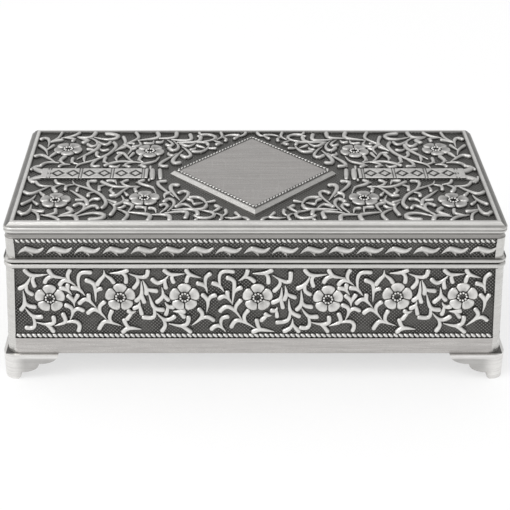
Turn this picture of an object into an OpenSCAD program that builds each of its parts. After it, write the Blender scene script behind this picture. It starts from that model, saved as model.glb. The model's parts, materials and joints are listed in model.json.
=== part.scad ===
// Cast rosary box on four bracket feet, with a hinged lid and a velvet lining.
// Millimetres, +Z up, front towards -Y, origin on the ground under the middle of the box.

/* [Box] */
// Length across the lid's outer moulding
box_w = 150; // [120:1:200]
// Depth across the lid's outer moulding
box_d = 72; // [64:1:110]
// Radius of the upright corners at the lid's outer moulding
corner_r = 2.8; // [2.6:0.1:4]
// Thickness of the cast walls, from the lid's outer moulding inwards
wall_t = 2.1; // [1.9:0.1:2.4]
// Width of the plain post left at each upright corner of a panel
post_w = 2.9; // [2:0.1:6]

/* [Body] */
// Height of the plain band at the foot of the walls
base_band_h = 5.3; // [3:0.1:10]
// Height of the rope moulding above that band
body_rope_h = 1.3; // [1:0.1:2]
// Height of the ornamented panels
panel_h = 22.7; // [16:0.1:40]
// Height of the bead round the body's rim
body_rim_h = 1.7; // [1.5:0.1:2]
// How far the walls lean out, from the rim down to the feet
flare = 1.5; // [0:0.1:3]
// Depth of the ornamented panels below the posts
panel_recess = 0.9; // [0.4:0.05:1]
// Width of the ledge inside the foot of the walls
ledge_w = 6; // [5:0.5:9]
// Thickness of that ledge
ledge_t = 1.8; // [1.2:0.1:3]
// Thickness of the bottom plate
bottom_t = 1.5; // [1.4:0.1:3]

/* [Feet] */
// Height of the feet
foot_h = 8.8; // [7:0.1:14]
// How far the feet stand out from the walls
foot_out = 1.1; // [0.5:0.1:2]
// Length of each wing of a foot
foot_wing = 17.2; // [13:0.1:22]
// Thickness of each wing
foot_t = 3.4; // [2.5:0.1:5]
// Width of the pad that a wing stands on
foot_pad = 5.1; // [4:0.1:7]
// Radius of a foot's upright outer corner
foot_corner_r = 3.6; // [2:0.1:5]
// Thickness of the web inside a foot, which takes the screw
foot_web_t = 2.5; // [2:0.1:4]

/* [Lid] */
// Height of the bead round the lid's rim
lid_rim_h = 1.5; // [1.3:0.1:1.7]
// Height of the band of leaves
leaf_band_h = 4.9; // [3:0.1:9]
// Depth of that band below the posts
leaf_recess = 0.7; // [0.3:0.05:0.8]
// Height of the rope moulding above the leaves
lid_rope_h = 1.6; // [1:0.1:2]
// Height of the cove above the rope
cove_h = 1.7; // [1.2:0.1:3]
// Height of the double bead that is the widest part of the lid
ridge_h = 2; // [1.6:0.1:3]
// Rise of the sloping border above the double bead
border_rise = 1; // [0.5:0.1:2]
// Width of the sloping part of the border
border_slope_w = 1.2; // [0.8:0.1:3]
// Width of the flat part of the border
border_w = 1.15; // [0.8:0.05:3]
// Depth of the lid's ornamented ground below the border
lid_recess = 0.9; // [0.4:0.05:1.2]
// Thickness of the lid's top below that ground
lid_top_t = 1.6; // [1.2:0.1:3]

/* [Straps] */
// Width of the two straps on the lid
strap_w = 6.6; // [4:0.1:12]
// Height of the straps above the lid's ground
strap_t = 0.6; // [0.3:0.05:0.8]
// Distance from the engraving plate's point to each strap
strap_start = 7.7; // [5:0.1:12]
// Distance from each strap to the lid's border
strap_end = 4.4; // [1:0.1:8]

/* [Cast relief] */
// Height of the cast scrolls and flowers above their ground
relief_h = 0.6; // [0.3:0.05:0.8]
// Width of a scroll at its round end
scroll_end_w = 0.8; // [0.5:0.05:1.4]
// Width of a scroll at its thin end
scroll_tail_w = 0.4; // [0.3:0.05:0.8]
// Radius of the five-petal flowers
flower_r = 4.1; // [3:0.1:4.6]

/* [Engraving plate] */
// Half length of the plate's flat top, along the box
plate_half_w = 24.8; // [15:0.1:28]
// Half width of the plate's flat top, across the box
plate_half_d = 26.6; // [15:0.1:28]
// Thickness of the plate
plate_t = 1.8; // [1:0.1:3]
// Width of the bevel round the plate
plate_bevel_w = 1.2; // [0.5:0.05:2]
// Height of the plain edge under the bevel
plate_edge_h = 0.6; // [0.2:0.1:0.9]
// Radius of the two studs under the plate
stud_r = 1; // [0.6:0.1:1.5]
// Distance of each stud from the middle of the plate
stud_x = 14; // [6:0.5:16]

/* [Hinges] */
// Length of each hinge
hinge_w = 20; // [14:1:30]
// Distance from each end of the box to the middle of its hinge
hinge_end = 31; // [24:1:40]
// Radius of the hinge barrel
barrel_r = 1.45; // [1.2:0.05:1.6]
// Radius of the hinge pin
pin_r = 0.6; // [0.4:0.05:0.8]
// Share of the barrel that belongs to the lid's leaf
lid_knuckle = 0.4; // [0.25:0.05:0.5]
// Thickness of the hinge leaves
leaf_t = 0.6; // [0.4:0.05:0.8]
// Height of each leaf on its wall
leaf_h = 6.6; // [5:0.1:9]
// How far the hinge axis lies outside the lid's outer moulding
hinge_out = 0.22; // [0.15:0.01:0.4]
// Radius of the rivets' shanks
rivet_r = 0.7; // [0.5:0.05:1]
// Radius of the rivets' heads
rivet_head_r = 1.3; // [1:0.05:1.6]
// Height of the rivets' heads
rivet_head_h = 0.45; // [0.3:0.05:0.6]
// Distance between the two rivets of a leaf
rivet_pitch = 12; // [8:0.5:20]

/* [Screws] */
// Radius of the foot screws' shanks
screw_r = 1.25; // [1:0.05:1.6]
// Radius of their countersunk heads
screw_head_r = 2.2; // [1.8:0.1:3]
// Height of their countersunk heads
screw_head_h = 1.1; // [0.8:0.1:1.4]

/* [Lining] */
// Thickness of the velvet boards on the walls
lining_t = 1.6; // [1:0.1:3]
// Thickness of the velvet pad on the floor
floor_pad_t = 3; // [1.5:0.1:6]
// Thickness of the velvet pad under the lid
lid_pad_t = 2.4; // [1.5:0.1:4]
// How far the boards stop short of the rim
lining_drop = 0.8; // [0.5:0.1:3]
// Thickness of the felt under the box
felt_t = 1; // [0.6:0.1:1.4]

/* [Fits] */
// Gap between a soft piece and what it lies against
soft_gap = 0.3; // [0.2:0.05:0.5]
// Gap between the bottom plate and the walls
plate_gap = 0.15; // [0.1:0.05:0.3]
// Gap round a pin, rivet, stud or screw in its hole
pin_gap = 0.05; // [0.02:0.01:0.1]
// Gap between the knuckles of a hinge
knuckle_gap = 0.2; // [0.1:0.05:0.4]
// Gap between a hinge and the notches cut for it
notch_gap = 0.3; // [0.2:0.05:0.5]

/* [Hidden] */

$fn = 48;
half_w = box_w / 2;
half_d = box_d / 2;
overshoot = 1; // how far a cutter runs past what it cuts

// Levels of the body, from the ground up
body_z = foot_h;
rope_z = body_z + base_band_h;
panel_z = rope_z + body_rope_h;
rim_z = panel_z + panel_h;
land_step = 0.1; // the flat land stands this much above the rounded bead
part_z = rim_z + body_rim_h + land_step;

// Levels of the lid
lid_rim_z = part_z + land_step;
leaf_z = lid_rim_z + lid_rim_h;
lid_rope_z = leaf_z + leaf_band_h;
cove_z = lid_rope_z + lid_rope_h;
ridge_z = cove_z + cove_h;
border_z = ridge_z + ridge_h;
lid_top_z = border_z + border_rise;
lid_ground_z = lid_top_z - lid_recess;
ceiling_z = lid_ground_z - lid_top_t;

// Offsets outwards from the lid's outer moulding
rim_out = 0.7;
wall_top_out = 0.2;
wall_foot_out = wall_top_out + flare;
band_in = 0.3;
ridge_core_in = 0.54;
border_in = 0.85;
frame_in = border_in + border_slope_w + border_w; // to the lid's sunk ground
cove_in = 0.8;
cove_steps = 6;
land_in = 0.7;

// Inside faces of the walls
inner_w = half_w - wall_t;
inner_d = half_d - wall_t;
ledge_z = body_z + ledge_t;
floor_z = ledge_z + bottom_t;

// Hinge axis, at the height of the parting plane
hinge_y = half_d + hinge_out;
hinge_z = part_z;
hinge_x = half_w - hinge_end;
leaf_face_y = inner_d;
neck_gap = 0.5; // from the parting plane to a leaf's neck
neck_t = 0.8;
rivet_z = 2.1; // from a leaf's free edge to its rivets
notch_r = barrel_r + notch_gap;

// Feet and their screws
foot_half_w = half_w + wall_foot_out + foot_out;
foot_half_d = half_d + wall_foot_out + foot_out;
foot_web_w = 10;
foot_web_in = 1; // from a foot's outer faces to its web
screw_in = 4.2; // from the walls' inside faces to the screws
screw_tip = 0.4; // from a screw's tip to the web's underside

// Lining
rear_gap = leaf_t + rivet_head_h + soft_gap;
board_z = floor_z + soft_gap;
board_top = part_z - lining_drop;
side_board_x = inner_w - soft_gap;
front_board_y = inner_d - soft_gap;
rear_board_y = inner_d - rear_gap;
field_x = side_board_x - lining_t - soft_gap;
field_front_y = front_board_y - lining_t - soft_gap;
field_rear_y = rear_board_y - lining_t - soft_gap;
lid_pad_z = ceiling_z - soft_gap - lid_pad_t;
lid_board_z = part_z + lining_drop;
lid_board_top = lid_pad_z - soft_gap;

// Cast scrolls of a long wall: each runs from its thin end to its round end, in millimetres
// along the wall from its middle and up from the ground, as drawn on a panel of this size
drawn_half_w = 72.3;
drawn_foot_z = 15.4;
drawn_h = 22.7;
tail_skip = 0.35; // share of a scroll's first stretch that is too thin to cast
drawn_repeat = 84.3; // the first list comes back at this distance
wall_scrolls = [
    [[-62.5, 35.9], [-66.8, 35.4], [-68.6, 36.2], [-69.2, 37.3]],
    [[-57, 34.6], [-61, 35.3], [-62, 37.3]], [[-67.6, 35.2], [-69.1, 32.2], [-71.2, 31.2]],
    [[-70.2, 30.4], [-69.9, 26.2], [-70.3, 24.8], [-71.3, 24]],
    [[-69.9, 24.3], [-67.7, 21.3], [-65.2, 21.4]],
    [[-66.8, 19.4], [-63.4, 18.6], [-61.2, 19.2], [-61.5, 21.2]],
    [[-61.3, 18.2], [-57.6, 19.5], [-57.9, 20.6], [-58.5, 22.3]],
    [[-56.5, 20.2], [-55.4, 22.8], [-55.7, 24.8], [-57.4, 25.4]],
    [[-54.9, 24.9], [-54.9, 26.8], [-56.6, 28.6]], [[-55.5, 28.9], [-56.9, 31], [-58.9, 31.1]],
    [[-54.3, 32.2], [-56.2, 33.8], [-57.8, 34.2], [-58.9, 32.6]],
    [[-51.5, 28.7], [-53.1, 31], [-54.2, 31.3], [-55.2, 31.3]],
    [[-48.3, 26.6], [-48.3, 30.6], [-48.6, 33], [-50.8, 33.9]],
    [[-48.3, 24.6], [-50.5, 27.2], [-51.6, 27.8], [-53.2, 26.2]],
    [[-45.3, 20.5], [-47.2, 23], [-49, 24.3], [-50.8, 22.8]],
    [[-41, 18.3], [-43.8, 19.3], [-46, 20], [-47.6, 17.4]],
    [[-34.8, 17], [-38.6, 17.5], [-39.8, 17], [-40.3, 16.2]],
    [[-45.4, 37.3], [-45.2, 35.2], [-46.4, 34.6], [-47.6, 32.6]],
    [[-43.6, 36.3], [-39.9, 36.5], [-38.5, 37.3]],
    [[-37.8, 36.1], [-35.3, 35.1], [-32.6, 34.9], [-32.2, 37.1]],
    [[-34.3, 33.5], [-34.3, 28.6], [-36, 27.1]], [[-33.8, 33.8], [-32.6, 30.6], [-32.8, 29.5]],
    [[-32.2, 29.4], [-30.6, 24.3], [-28, 23.8]], [[-34.9, 26.7], [-35, 24.8], [-36.6, 24.4]],
    [[-36.2, 23.3], [-37.8, 22.3], [-38.4, 23.4]],
    [[-21.2, 36.1], [-25.4, 35.7], [-26.6, 36.4], [-27.2, 37.3]],
    [[-26, 35.4], [-27.4, 33.8], [-29.4, 32.6], [-30.9, 34.2]],
    [[-28.1, 31.4], [-27.6, 28.4], [-28.4, 27.6], [-29.6, 26.6]],
    [[-27.2, 26.3], [-26.2, 24.4], [-24.7, 24.9]], [[-24.8, 23.3], [-22.8, 23.1], [-21.5, 24]],
    [[-29.8, 22.6], [-27.9, 20.4], [-26.3, 20.1], [-24.5, 21.4]],
    [[-26.2, 19], [-22, 18], [-20.2, 19.2], [-20.2, 21.2]],
    [[-19.2, 18.4], [-16.4, 20.7], [-15.6, 22.4], [-16.9, 24]],
    [[-14.6, 23], [-14.1, 27], [-15.7, 28.9]], [[-16.3, 34.8], [-20, 35.9], [-20.6, 37.3]],
    [[-14.4, 29.6], [-14.8, 32.2], [-16, 32.4], [-17.2, 32.9]]
];
middle_scrolls = [
    [[-9.3, 30], [-10.6, 32.2], [-12.6, 32.9]], [[-6.8, 25.6], [-6.3, 30.4], [-6.2, 34], [-8.2, 34.8]],
    [[-6.9, 26], [-8.2, 28.2], [-9.5, 28.8], [-10.7, 27.8]],
    [[-3.8, 20.3], [-6, 23.6], [-8.6, 25.2], [-10.4, 23.5]],
    [[0.2, 17.4], [-2.6, 19.3], [-5.6, 20.4], [-7, 18]],
    [[-8.8, 16.2], [-10.2, 18], [-11.8, 18.6], [-13.1, 17.2]],
    [[6, 16.2], [1.6, 17], [0.8, 16.8], [-0.3, 16.2]], [[-4.8, 33.8], [-2.6, 35.3], [-2.2, 37.2]],
    [[-0.6, 36.2], [3.4, 36.3], [5, 37.3]], [[5.4, 35.6], [7.8, 34], [10.6, 33], [10.8, 36.4]],
    [[8.2, 31.4], [8, 27.4], [6.8, 26.8], [5.5, 26.4]], [[9.2, 32], [9.8, 29], [9.1, 27.5]],
    [[10.4, 27.5], [10.9, 23.2], [13.6, 21.6]], [[7, 24.6], [6.8, 23], [5.3, 23.6]],
    [[5.2, 21.8], [3.6, 21.6], [3.4, 22.3]], [[11.7, 20.6], [11.8, 18.4], [10.6, 16.8], [9.3, 16.4]]
];
wall_flowers = [
    [-62.2, 27.8], [-40.8, 28.2], [-21.3, 28.2], [0.9, 28.1], [22.3, 27.5], [43.3, 28.4], [63.1, 28.4]
];

// The end walls take the stretch of it round this place
drawn_end_middle = -21.3;
drawn_half_d = 33.3;

// Cast scrolls of a quarter of the lid's top, outwards from the middle of the box
drawn_top_half_w = 71.8;
drawn_top_half_d = 32.8;
top_scrolls = [
    [[63, 8.7], [67, 8.9], [68.5, 6.2]], [[64.3, 9.2], [66.8, 12.3], [69.5, 14.9], [71.2, 13.3]],
    [[60.8, 7.8], [63.1, 9.8], [61.5, 13]],
    [[57.2, 4.8], [56.5, 7.5], [54, 9], [51.5, 10.5], [49.5, 12.5], [47.3, 15], [46, 18], [45.2, 20.5],
     [45.3, 22.8], [46.2, 24]],
    [[56.5, 7.6], [59, 8.4], [58.7, 11.5]], [[48.8, 13.6], [51.8, 9], [52.2, 5.2], [49.8, 5.5]],
    [[36, 8.8], [42, 9.6], [45, 8.6], [47.8, 6.1]], [[43.1, 7.2], [43.6, 4.6], [46, 5.4]],
    [[46.5, 7.8], [48.6, 8.8], [48.1, 12]], [[44, 9.6], [45, 12], [43.5, 14.4]],
    [[38, 9], [40.5, 8.6], [41.9, 6], [39.8, 5]], [[38.5, 8.9], [40.8, 12], [42.5, 16.3], [44.3, 15.7]],
    [[30.5, 13.6], [31.6, 9.3], [34, 8.4], [36.9, 6.2], [34.8, 5]],
    [[35.6, 9], [37.4, 10.4], [36.5, 13.2]],
    [[57.3, 11.5], [55, 14.3], [52.5, 17.5], [51, 20], [51, 22]],
    [[67.5, 15], [68.2, 18.5], [69.4, 20], [70.8, 21.6]],
    [[68, 21.5], [67.9, 24.5], [68.6, 28], [70, 28.8], [71, 27]],
    [[67.6, 25.6], [65.3, 27.8], [64.5, 32.2]], [[64.3, 28.4], [60.2, 29.8], [58.5, 32.2]],
    [[63.5, 28.7], [59.6, 27.6], [60.2, 25.4]], [[58.5, 28.5], [54.6, 26.2], [56.5, 24.3]],
    [[59, 29.3], [54.2, 28.6], [53.1, 32.2]],
    [[54.8, 28.5], [52.5, 26.5], [51.4, 22.6], [53.3, 20.5], [54.8, 22.6]],
    [[54, 28.5], [51, 24], [48.4, 21.9], [47.5, 24.3]],
    [[53.5, 29.2], [50, 27.3], [47.5, 27], [45, 28.3], [45, 30.5], [47, 31.5], [49.2, 31.7]],
    [[44.6, 19.8], [42.2, 23.5], [43.3, 28.6]], [[41, 15.3], [39.8, 19.5], [42.6, 22.3]],
    [[38.2, 26], [36.8, 22], [39.6, 20.7]], [[41.8, 24.3], [38, 28], [39.2, 32.2]],
    [[38.3, 26.5], [31.4, 28.4], [31.9, 32.2]], [[33, 26.3], [33, 23.3], [35.8, 23.6]],
    [[24.8, 16], [27.8, 11.5], [29.8, 8.5], [30.4, 5.6], [27.8, 5.6]],
    [[23, 18.3], [25.3, 13], [26.2, 10], [25.6, 7.4], [23.8, 8.3]],
    [[23.4, 21.3], [21.3, 17.8], [20, 13.5], [21.8, 11.9], [23.2, 13.8]],
    [[26.3, 25.8], [24.8, 23], [24.4, 19.5], [26.2, 17.2], [27.6, 19.8]],
    [[28.5, 26.8], [26.1, 23], [27.2, 20.8], [28.5, 22.3]],
    [[14.3, 22.4], [15, 19.3], [17, 16.4], [19.6, 17]], [[19, 24], [21.2, 20.9], [23.8, 23.2]],
    [[21, 24.6], [15.2, 24.8], [14.7, 22.6]], [[25, 25], [18, 24.9], [17.2, 28.5]],
    [[27, 27], [20.4, 26.3], [20.8, 30.6]], [[31.5, 28.2], [25.8, 28.4], [25.5, 32.2]],
    [[18, 24.8], [15.5, 25.8], [13.2, 26.2], [11.9, 28], [12.3, 29.9], [14.6, 31.3], [17, 30.5]],
    [[13, 26.5], [10, 23.6], [11.8, 22.7]], [[11.7, 27.3], [9.6, 29], [10.4, 32.2]],
    [[9.1, 30], [7, 31.2], [4.4, 30.2]]
];
top_flowers = [[61, 19], [33.8, 17.5]];
relief_root = 0.4; // how far the relief runs into its ground

pewter = [0.72, 0.72, 0.7];
dark_pewter = [0.56, 0.56, 0.55];
brass = [0.76, 0.66, 0.42];
steel = [0.62, 0.63, 0.65];
velvet = [0.09, 0.09, 0.11];
felt = [0.07, 0.07, 0.08];

// How far the wall stands out at a height
function wall_out(z) = wall_top_out + flare * (rim_z - z) / (rim_z - body_z);

// A ring with rounded corners round the box. The child is its section: x is the distance
// outwards from the lid's outer moulding, y is the height.
module ring() {
    for (turn = [0, 180])
        rotate(turn) {
            translate([corner_r - half_w, half_d, 0])
                rotate([90, 0, 90])
                    linear_extrude(box_w - 2 * corner_r) children();
            translate([half_w, half_d - corner_r, 0])
                rotate([90, 0, 0])
                    linear_extrude(box_d - 2 * corner_r) children();
            for (side = [0, 1])
                mirror([side, 0, 0])
                    translate([half_w - corner_r, half_d - corner_r, 0])
                        rotate_extrude(angle = 90)
                            translate([corner_r, 0]) children();
        }
}

// Section of the body's wall, with the bead at its rim
module body_section() {
    bead_r = body_rim_h / 2;
    polygon([
        [-wall_t, body_z],
        [wall_foot_out, body_z],
        [wall_top_out, rim_z],
        [wall_top_out, rim_z + bead_r],
        [rim_out - bead_r, rim_z + bead_r],
        [rim_out - bead_r, part_z - land_step],
        [-land_in, part_z - land_step],
        [-land_in, part_z],
        [-wall_t, part_z]
    ]);
    translate([rim_out - bead_r, rim_z + bead_r]) circle(bead_r);
}

// Section of the lid's wall: rim bead, band, cove and double bead
module lid_section() {
    bead_r = lid_rim_h / 2;
    ridge_r = ridge_h * 0.27;
    polygon(concat(
        [[-wall_t, part_z],
         [-land_in, part_z],
         [-land_in, lid_rim_z],
         [rim_out - bead_r, lid_rim_z],
         [rim_out - bead_r, leaf_z],
         [-band_in, leaf_z]],
        [for (i = [0:cove_steps])
            [-band_in - (cove_in - band_in) * sin(90 * i / cove_steps),
             ridge_z - cove_h * cos(90 * i / cove_steps)]],
        [[-ridge_core_in, ridge_z],
         [-ridge_core_in, border_z],
         [-wall_t, border_z]]
    ));
    translate([rim_out - bead_r, lid_rim_z + bead_r]) circle(bead_r);
    for (z = [ridge_z + ridge_r, border_z - ridge_r])
        translate([-ridge_r, z]) circle(ridge_r);
}

// A sunk panel in the wall that faces +Y, between two heights, following the wall's lean
module panel_cut(half_len, half_depth, depth, z0, z1, out0, out1) {
    lean = out0 - out1;
    intersection() {
        translate([0, half_depth + 3 * overshoot + flare, 0])
            rotate([90, 0, 0])
                linear_extrude(4 * overshoot + 2 * flare + depth + wall_t)
                    polygon([
                        [-half_len - out0 + post_w, z0],
                        [half_len + out0 - post_w, z0],
                        [half_len + out1 - post_w, z1],
                        [-half_len - out1 + post_w, z1]
                    ]);
        translate([-half_len, half_depth, 0])
            rotate([90, 0, 90])
                linear_extrude(2 * half_len)
                    polygon([
                        [out0 - depth + lean * overshoot / (z1 - z0), z0 - overshoot],
                        [out0 + 2 * overshoot, z0 - overshoot],
                        [out0 + 2 * overshoot, z1 + overshoot],
                        [out1 - depth - lean * overshoot / (z1 - z0), z1 + overshoot]
                    ]);
    }
}

// The same panel in all four walls
module panel_cuts(depth, z0, z1, out0, out1) {
    for (turn = [0, 180])
        rotate(turn) {
            panel_cut(half_w, half_d, depth, z0, z1, out0, out1);
            rotate(90) panel_cut(half_d, half_w, depth, z0, z1, out0, out1);
        }
}

// The round core of a rope moulding, along all four walls between the posts
module rope_core(depth, z, height, out) {
    rope_r = height * 0.54;
    reach_w = half_w + out - post_w;
    reach_d = half_d + out - post_w;
    for (turn = [0, 180])
        rotate(turn) {
            translate([-reach_w, half_d + out - depth, z + height / 2])
                rotate([0, 90, 0]) cylinder(h = 2 * reach_w, r = rope_r);
            translate([half_w + out - depth, -reach_d, z + height / 2])
                rotate([-90, 0, 0]) cylinder(h = 2 * reach_d, r = rope_r);
        }
}

// A flat scroll along some points, widening to its round end
module scroll(drawn) {
    last = len(drawn) - 1;
    points = [for (i = [0:last]) i == 0 ? drawn[0] + (drawn[1] - drawn[0]) * tail_skip : drawn[i]];
    runs = [for (i = [0:last]) points[min(i + 1, last)] - points[max(i - 1, 0)]];
    sides = [for (i = [0:last])
        [-runs[i][1], runs[i][0]] / norm(runs[i])
            * (scroll_tail_w + (scroll_end_w - scroll_tail_w) * i / last) / 2];
    tip = points[last] + runs[last] / norm(runs[last]) * scroll_end_w / 2;
    polygon(concat(
        [for (i = [0:last]) points[i] - sides[i]],
        [tip],
        [for (i = [last:-1:0]) points[i] + sides[i]]
    ));
}

// A flat flower of five petals, one of them pointing along +Y
module flower() {
    for (petal = [0:4])
        rotate(90 + 72 * petal)
            polygon([
                [flower_r * 0.51, -flower_r * 0.13], [flower_r * 0.78, -flower_r * 0.28],
                [flower_r * 0.97, -flower_r * 0.2], [flower_r * 0.97, flower_r * 0.2],
                [flower_r * 0.78, flower_r * 0.28], [flower_r * 0.51, flower_r * 0.13]
            ]);
}

// The drawing of a wall's relief, stretched to a panel, with what is left inside its reach
module wall_drawing(middle, reach, half_len) {
    shown = reach - scroll_end_w;
    scale([half_len / reach, panel_h / drawn_h]) {
        for (move = [0, drawn_repeat])
            for (points = wall_scrolls)
                if (max([for (p = points) abs(p[0] + move - middle)]) < shown)
                    scroll([for (p = points) [p[0] + move - middle, p[1] - drawn_foot_z]]);
        for (points = middle_scrolls)
            if (max([for (p = points) abs(p[0] - middle)]) < shown)
                scroll([for (p = points) [p[0] - middle, p[1] - drawn_foot_z]]);
    }
    for (place = wall_flowers)
        if (abs(place[0] - middle) < reach - flower_r)
            translate([
                (place[0] - middle) * half_len / reach,
                (place[1] - drawn_foot_z) * panel_h / drawn_h
            ]) flower();
}

// Relief on the wall that faces -Y, standing on its sunk panel and following its lean
module wall_relief(middle, reach, half_len, half_depth) {
    out0 = wall_out(panel_z) - panel_recess;
    out1 = wall_out(rim_z) - panel_recess;
    intersection() {
        translate([0, -half_depth, panel_z])
            rotate([90, 0, 0])
                translate([0, 0, out1 - relief_root])
                    linear_extrude(relief_root + out0 - out1 + relief_h)
                        wall_drawing(middle, reach, half_len);
        translate([-2 * half_len, -half_depth, 0])
            rotate([90, 0, 90])
                linear_extrude(4 * half_len)
                    polygon([
                        [-out0 - relief_h, panel_z],
                        [-out0 + relief_root, panel_z],
                        [-out1 + relief_root, rim_z],
                        [-out1 - relief_h, rim_z]
                    ]);
    }
}

// Relief on all four walls
module wall_reliefs() {
    for (turn = [0, 180])
        rotate(turn) {
            wall_relief(0, drawn_half_w, half_w + wall_top_out - post_w, half_d);
            rotate(90)
                wall_relief(drawn_end_middle, drawn_half_d, half_d + wall_top_out - post_w, half_w);
        }
}

// Relief on the lid's top, four mirrored quarters, clear of the engraving plate and ending at
// the border round the sunk ground
module top_relief() {
    stretch_x = (half_w - frame_in) / drawn_top_half_w;
    stretch_y = (half_d - frame_in) / drawn_top_half_d;
    edge = sqrt(plate_half_w * plate_half_w + plate_half_d * plate_half_d);
    inset = plate_half_w * plate_half_d / edge;
    clear = (inset + plate_bevel_w + soft_gap) / inset;
    translate([0, 0, lid_ground_z - relief_root])
        linear_extrude(relief_root + relief_h)
            difference() {
                for (side = [0, 1])
                    for (end = [0, 1])
                        mirror([side, 0])
                            mirror([0, end]) {
                                scale([stretch_x, stretch_y])
                                    for (points = top_scrolls) scroll(points);
                                for (place = top_flowers)
                                    translate([place[0] * stretch_x, place[1] * stretch_y])
                                        rotate(180) flower();
                            }
                polygon([
                    [plate_half_w * clear, 0], [0, plate_half_d * clear],
                    [-plate_half_w * clear, 0], [0, -plate_half_d * clear]
                ]);
                difference() {
                    square([2 * box_w, 2 * box_d], center = true);
                    square([2 * (half_w - frame_in), 2 * (half_d - frame_in)], center = true);
                }
            }
}

// Places its child at both hinges
module at_hinges() {
    for (side = [-1, 1])
        translate([side * hinge_x, 0, 0]) children();
}

// Places its child, a rivet along +Y, at the two rivets of a leaf
module at_rivets(z) {
    for (side = [-1, 1])
        translate([side * rivet_pitch / 2, 0, z])
            rotate([-90, 0, 0]) children();
}

body_rivet_z = hinge_z - neck_gap - leaf_h + rivet_z;
lid_rivet_z = hinge_z + neck_gap + leaf_h - rivet_z;
body_rivet_seat = half_d + wall_out(body_rivet_z) - panel_recess - rivet_r * 0.2;
lid_rivet_seat = half_d - band_in - leaf_recess;

// The room that a hinge's barrel and one leaf's neck take from a wall
module hinge_notch(below) {
    notch_w = hinge_w + 2 * notch_gap;
    neck_far = neck_gap + neck_t + notch_gap;
    translate([-notch_w / 2, hinge_y, hinge_z])
        rotate([0, 90, 0]) cylinder(h = notch_w, r = notch_r);
    translate([-notch_w / 2, inner_d - overshoot, below ? hinge_z - neck_far : hinge_z - overshoot])
        cube([notch_w, hinge_out + wall_t + overshoot, neck_far + overshoot]);
}

module body_casting() {
    color(pewter)
        difference() {
            union() {
                difference() {
                    ring() body_section();
                    panel_cuts(panel_recess, rope_z, rim_z, wall_out(rope_z), wall_out(rim_z));
                }
                rope_core(panel_recess, rope_z, body_rope_h, wall_out(rope_z));
                wall_reliefs();
                ledge();
            }
            at_hinges() {
                hinge_notch(true);
                at_rivets(body_rivet_z) {
                    cylinder(h = box_d, r = rivet_r + pin_gap);
                    translate([0, 0, body_rivet_seat]) cylinder(h = wall_t, r = rivet_head_r + 2 * pin_gap);
                }
            }
            at_screws() translate([0, 0, body_z - overshoot])
                cylinder(h = ledge_t + 2 * overshoot, r = screw_r + pin_gap);
        }
}

// The ledge inside the foot of the walls, which carries the bottom plate
module ledge() {
    translate([0, 0, body_z])
        linear_extrude(ledge_t)
            difference() {
                square([2 * inner_w + wall_t, 2 * inner_d + wall_t], center = true);
                square([2 * (inner_w - ledge_w), 2 * (inner_d - ledge_w)], center = true);
            }
}

// Places its child at the four foot screws
module at_screws() {
    for (x = [-1, 1])
        for (y = [-1, 1])
            translate([x * (inner_w - screw_in), y * (inner_d - screw_in), 0]) children();
}

module bottom_plate() {
    color(steel)
        difference() {
            translate([plate_gap - inner_w, plate_gap - inner_d, ledge_z])
                cube([2 * (inner_w - plate_gap), 2 * (inner_d - plate_gap), bottom_t]);
            at_screws() {
                translate([0, 0, ledge_z - overshoot])
                    cylinder(h = bottom_t + 2 * overshoot, r = screw_r + pin_gap);
                translate([0, 0, floor_z - screw_head_h])
                    cylinder(h = screw_head_h, r1 = screw_r + pin_gap, r2 = screw_head_r + pin_gap);
            }
        }
}

module base_felt() {
    felt_w = inner_w - ledge_w - soft_gap;
    felt_d = inner_d - ledge_w - soft_gap;
    color(felt)
        translate([-felt_w, -felt_d, ledge_z - plate_gap - felt_t])
            cube([2 * felt_w, 2 * felt_d, felt_t]);
}

// Outline of one wing, seen square on: x runs inwards from the foot's outer face. Two
// hollow curves with a cusp between them rise from the pad to the wing's tip.
module wing_outline() {
    toe_r = 0.8;
    cusp_x = foot_pad + (foot_wing - foot_pad) * 0.48;
    pad_z = foot_h * 0.27;
    cusp_z = foot_h * 0.6;
    steps = 8;
    polygon(concat(
        [[0, foot_h], [0, toe_r], [toe_r, 0], [foot_pad - toe_r, 0], [foot_pad, toe_r]],
        [for (i = [0:steps])
            [foot_pad + (cusp_x - foot_pad) * sin(90 * i / steps),
             cusp_z - (cusp_z - pad_z) * cos(90 * i / steps)]],
        [for (i = [0:steps])
            [cusp_x + 0.25 + (foot_wing - cusp_x - 0.25) * sin(90 * i / steps),
             foot_h - (foot_h - cusp_z - 0.2) * cos(90 * i / steps)]]
    ));
}

// A rectangle with round corners
module round_rect(w, d, r) {
    square([w, d - 2 * r], center = true);
    square([w - 2 * r, d], center = true);
    for (x = [-1, 1])
        for (y = [-1, 1])
            translate([x * (w / 2 - r), y * (d / 2 - r)]) circle(r);
}

// The foot at the corner towards +X and +Y: two wings and a web inside them
module foot() {
    color(pewter)
        difference() {
            intersection() {
                union() {
                    translate([foot_half_w, foot_half_d, 0])
                        rotate([90, 0, 0])
                            linear_extrude(foot_t)
                                mirror([1, 0, 0]) wing_outline();
                    translate([foot_half_w - foot_t, foot_half_d, 0])
                        rotate([90, 0, 90])
                            linear_extrude(foot_t)
                                mirror([1, 0, 0]) wing_outline();
                    translate([foot_half_w, foot_half_d, foot_h - foot_web_t])
                        translate([-foot_web_w - foot_web_in, -foot_web_w - foot_web_in, 0])
                            cube([foot_web_w, foot_web_w, foot_web_t]);
                }
                translate([0, 0, -overshoot])
                    linear_extrude(foot_h + 2 * overshoot)
                        round_rect(2 * foot_half_w, 2 * foot_half_d, foot_corner_r);
            }
            at_screws() cylinder(h = foot_h + overshoot, r = screw_r + pin_gap);
        }
}

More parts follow.
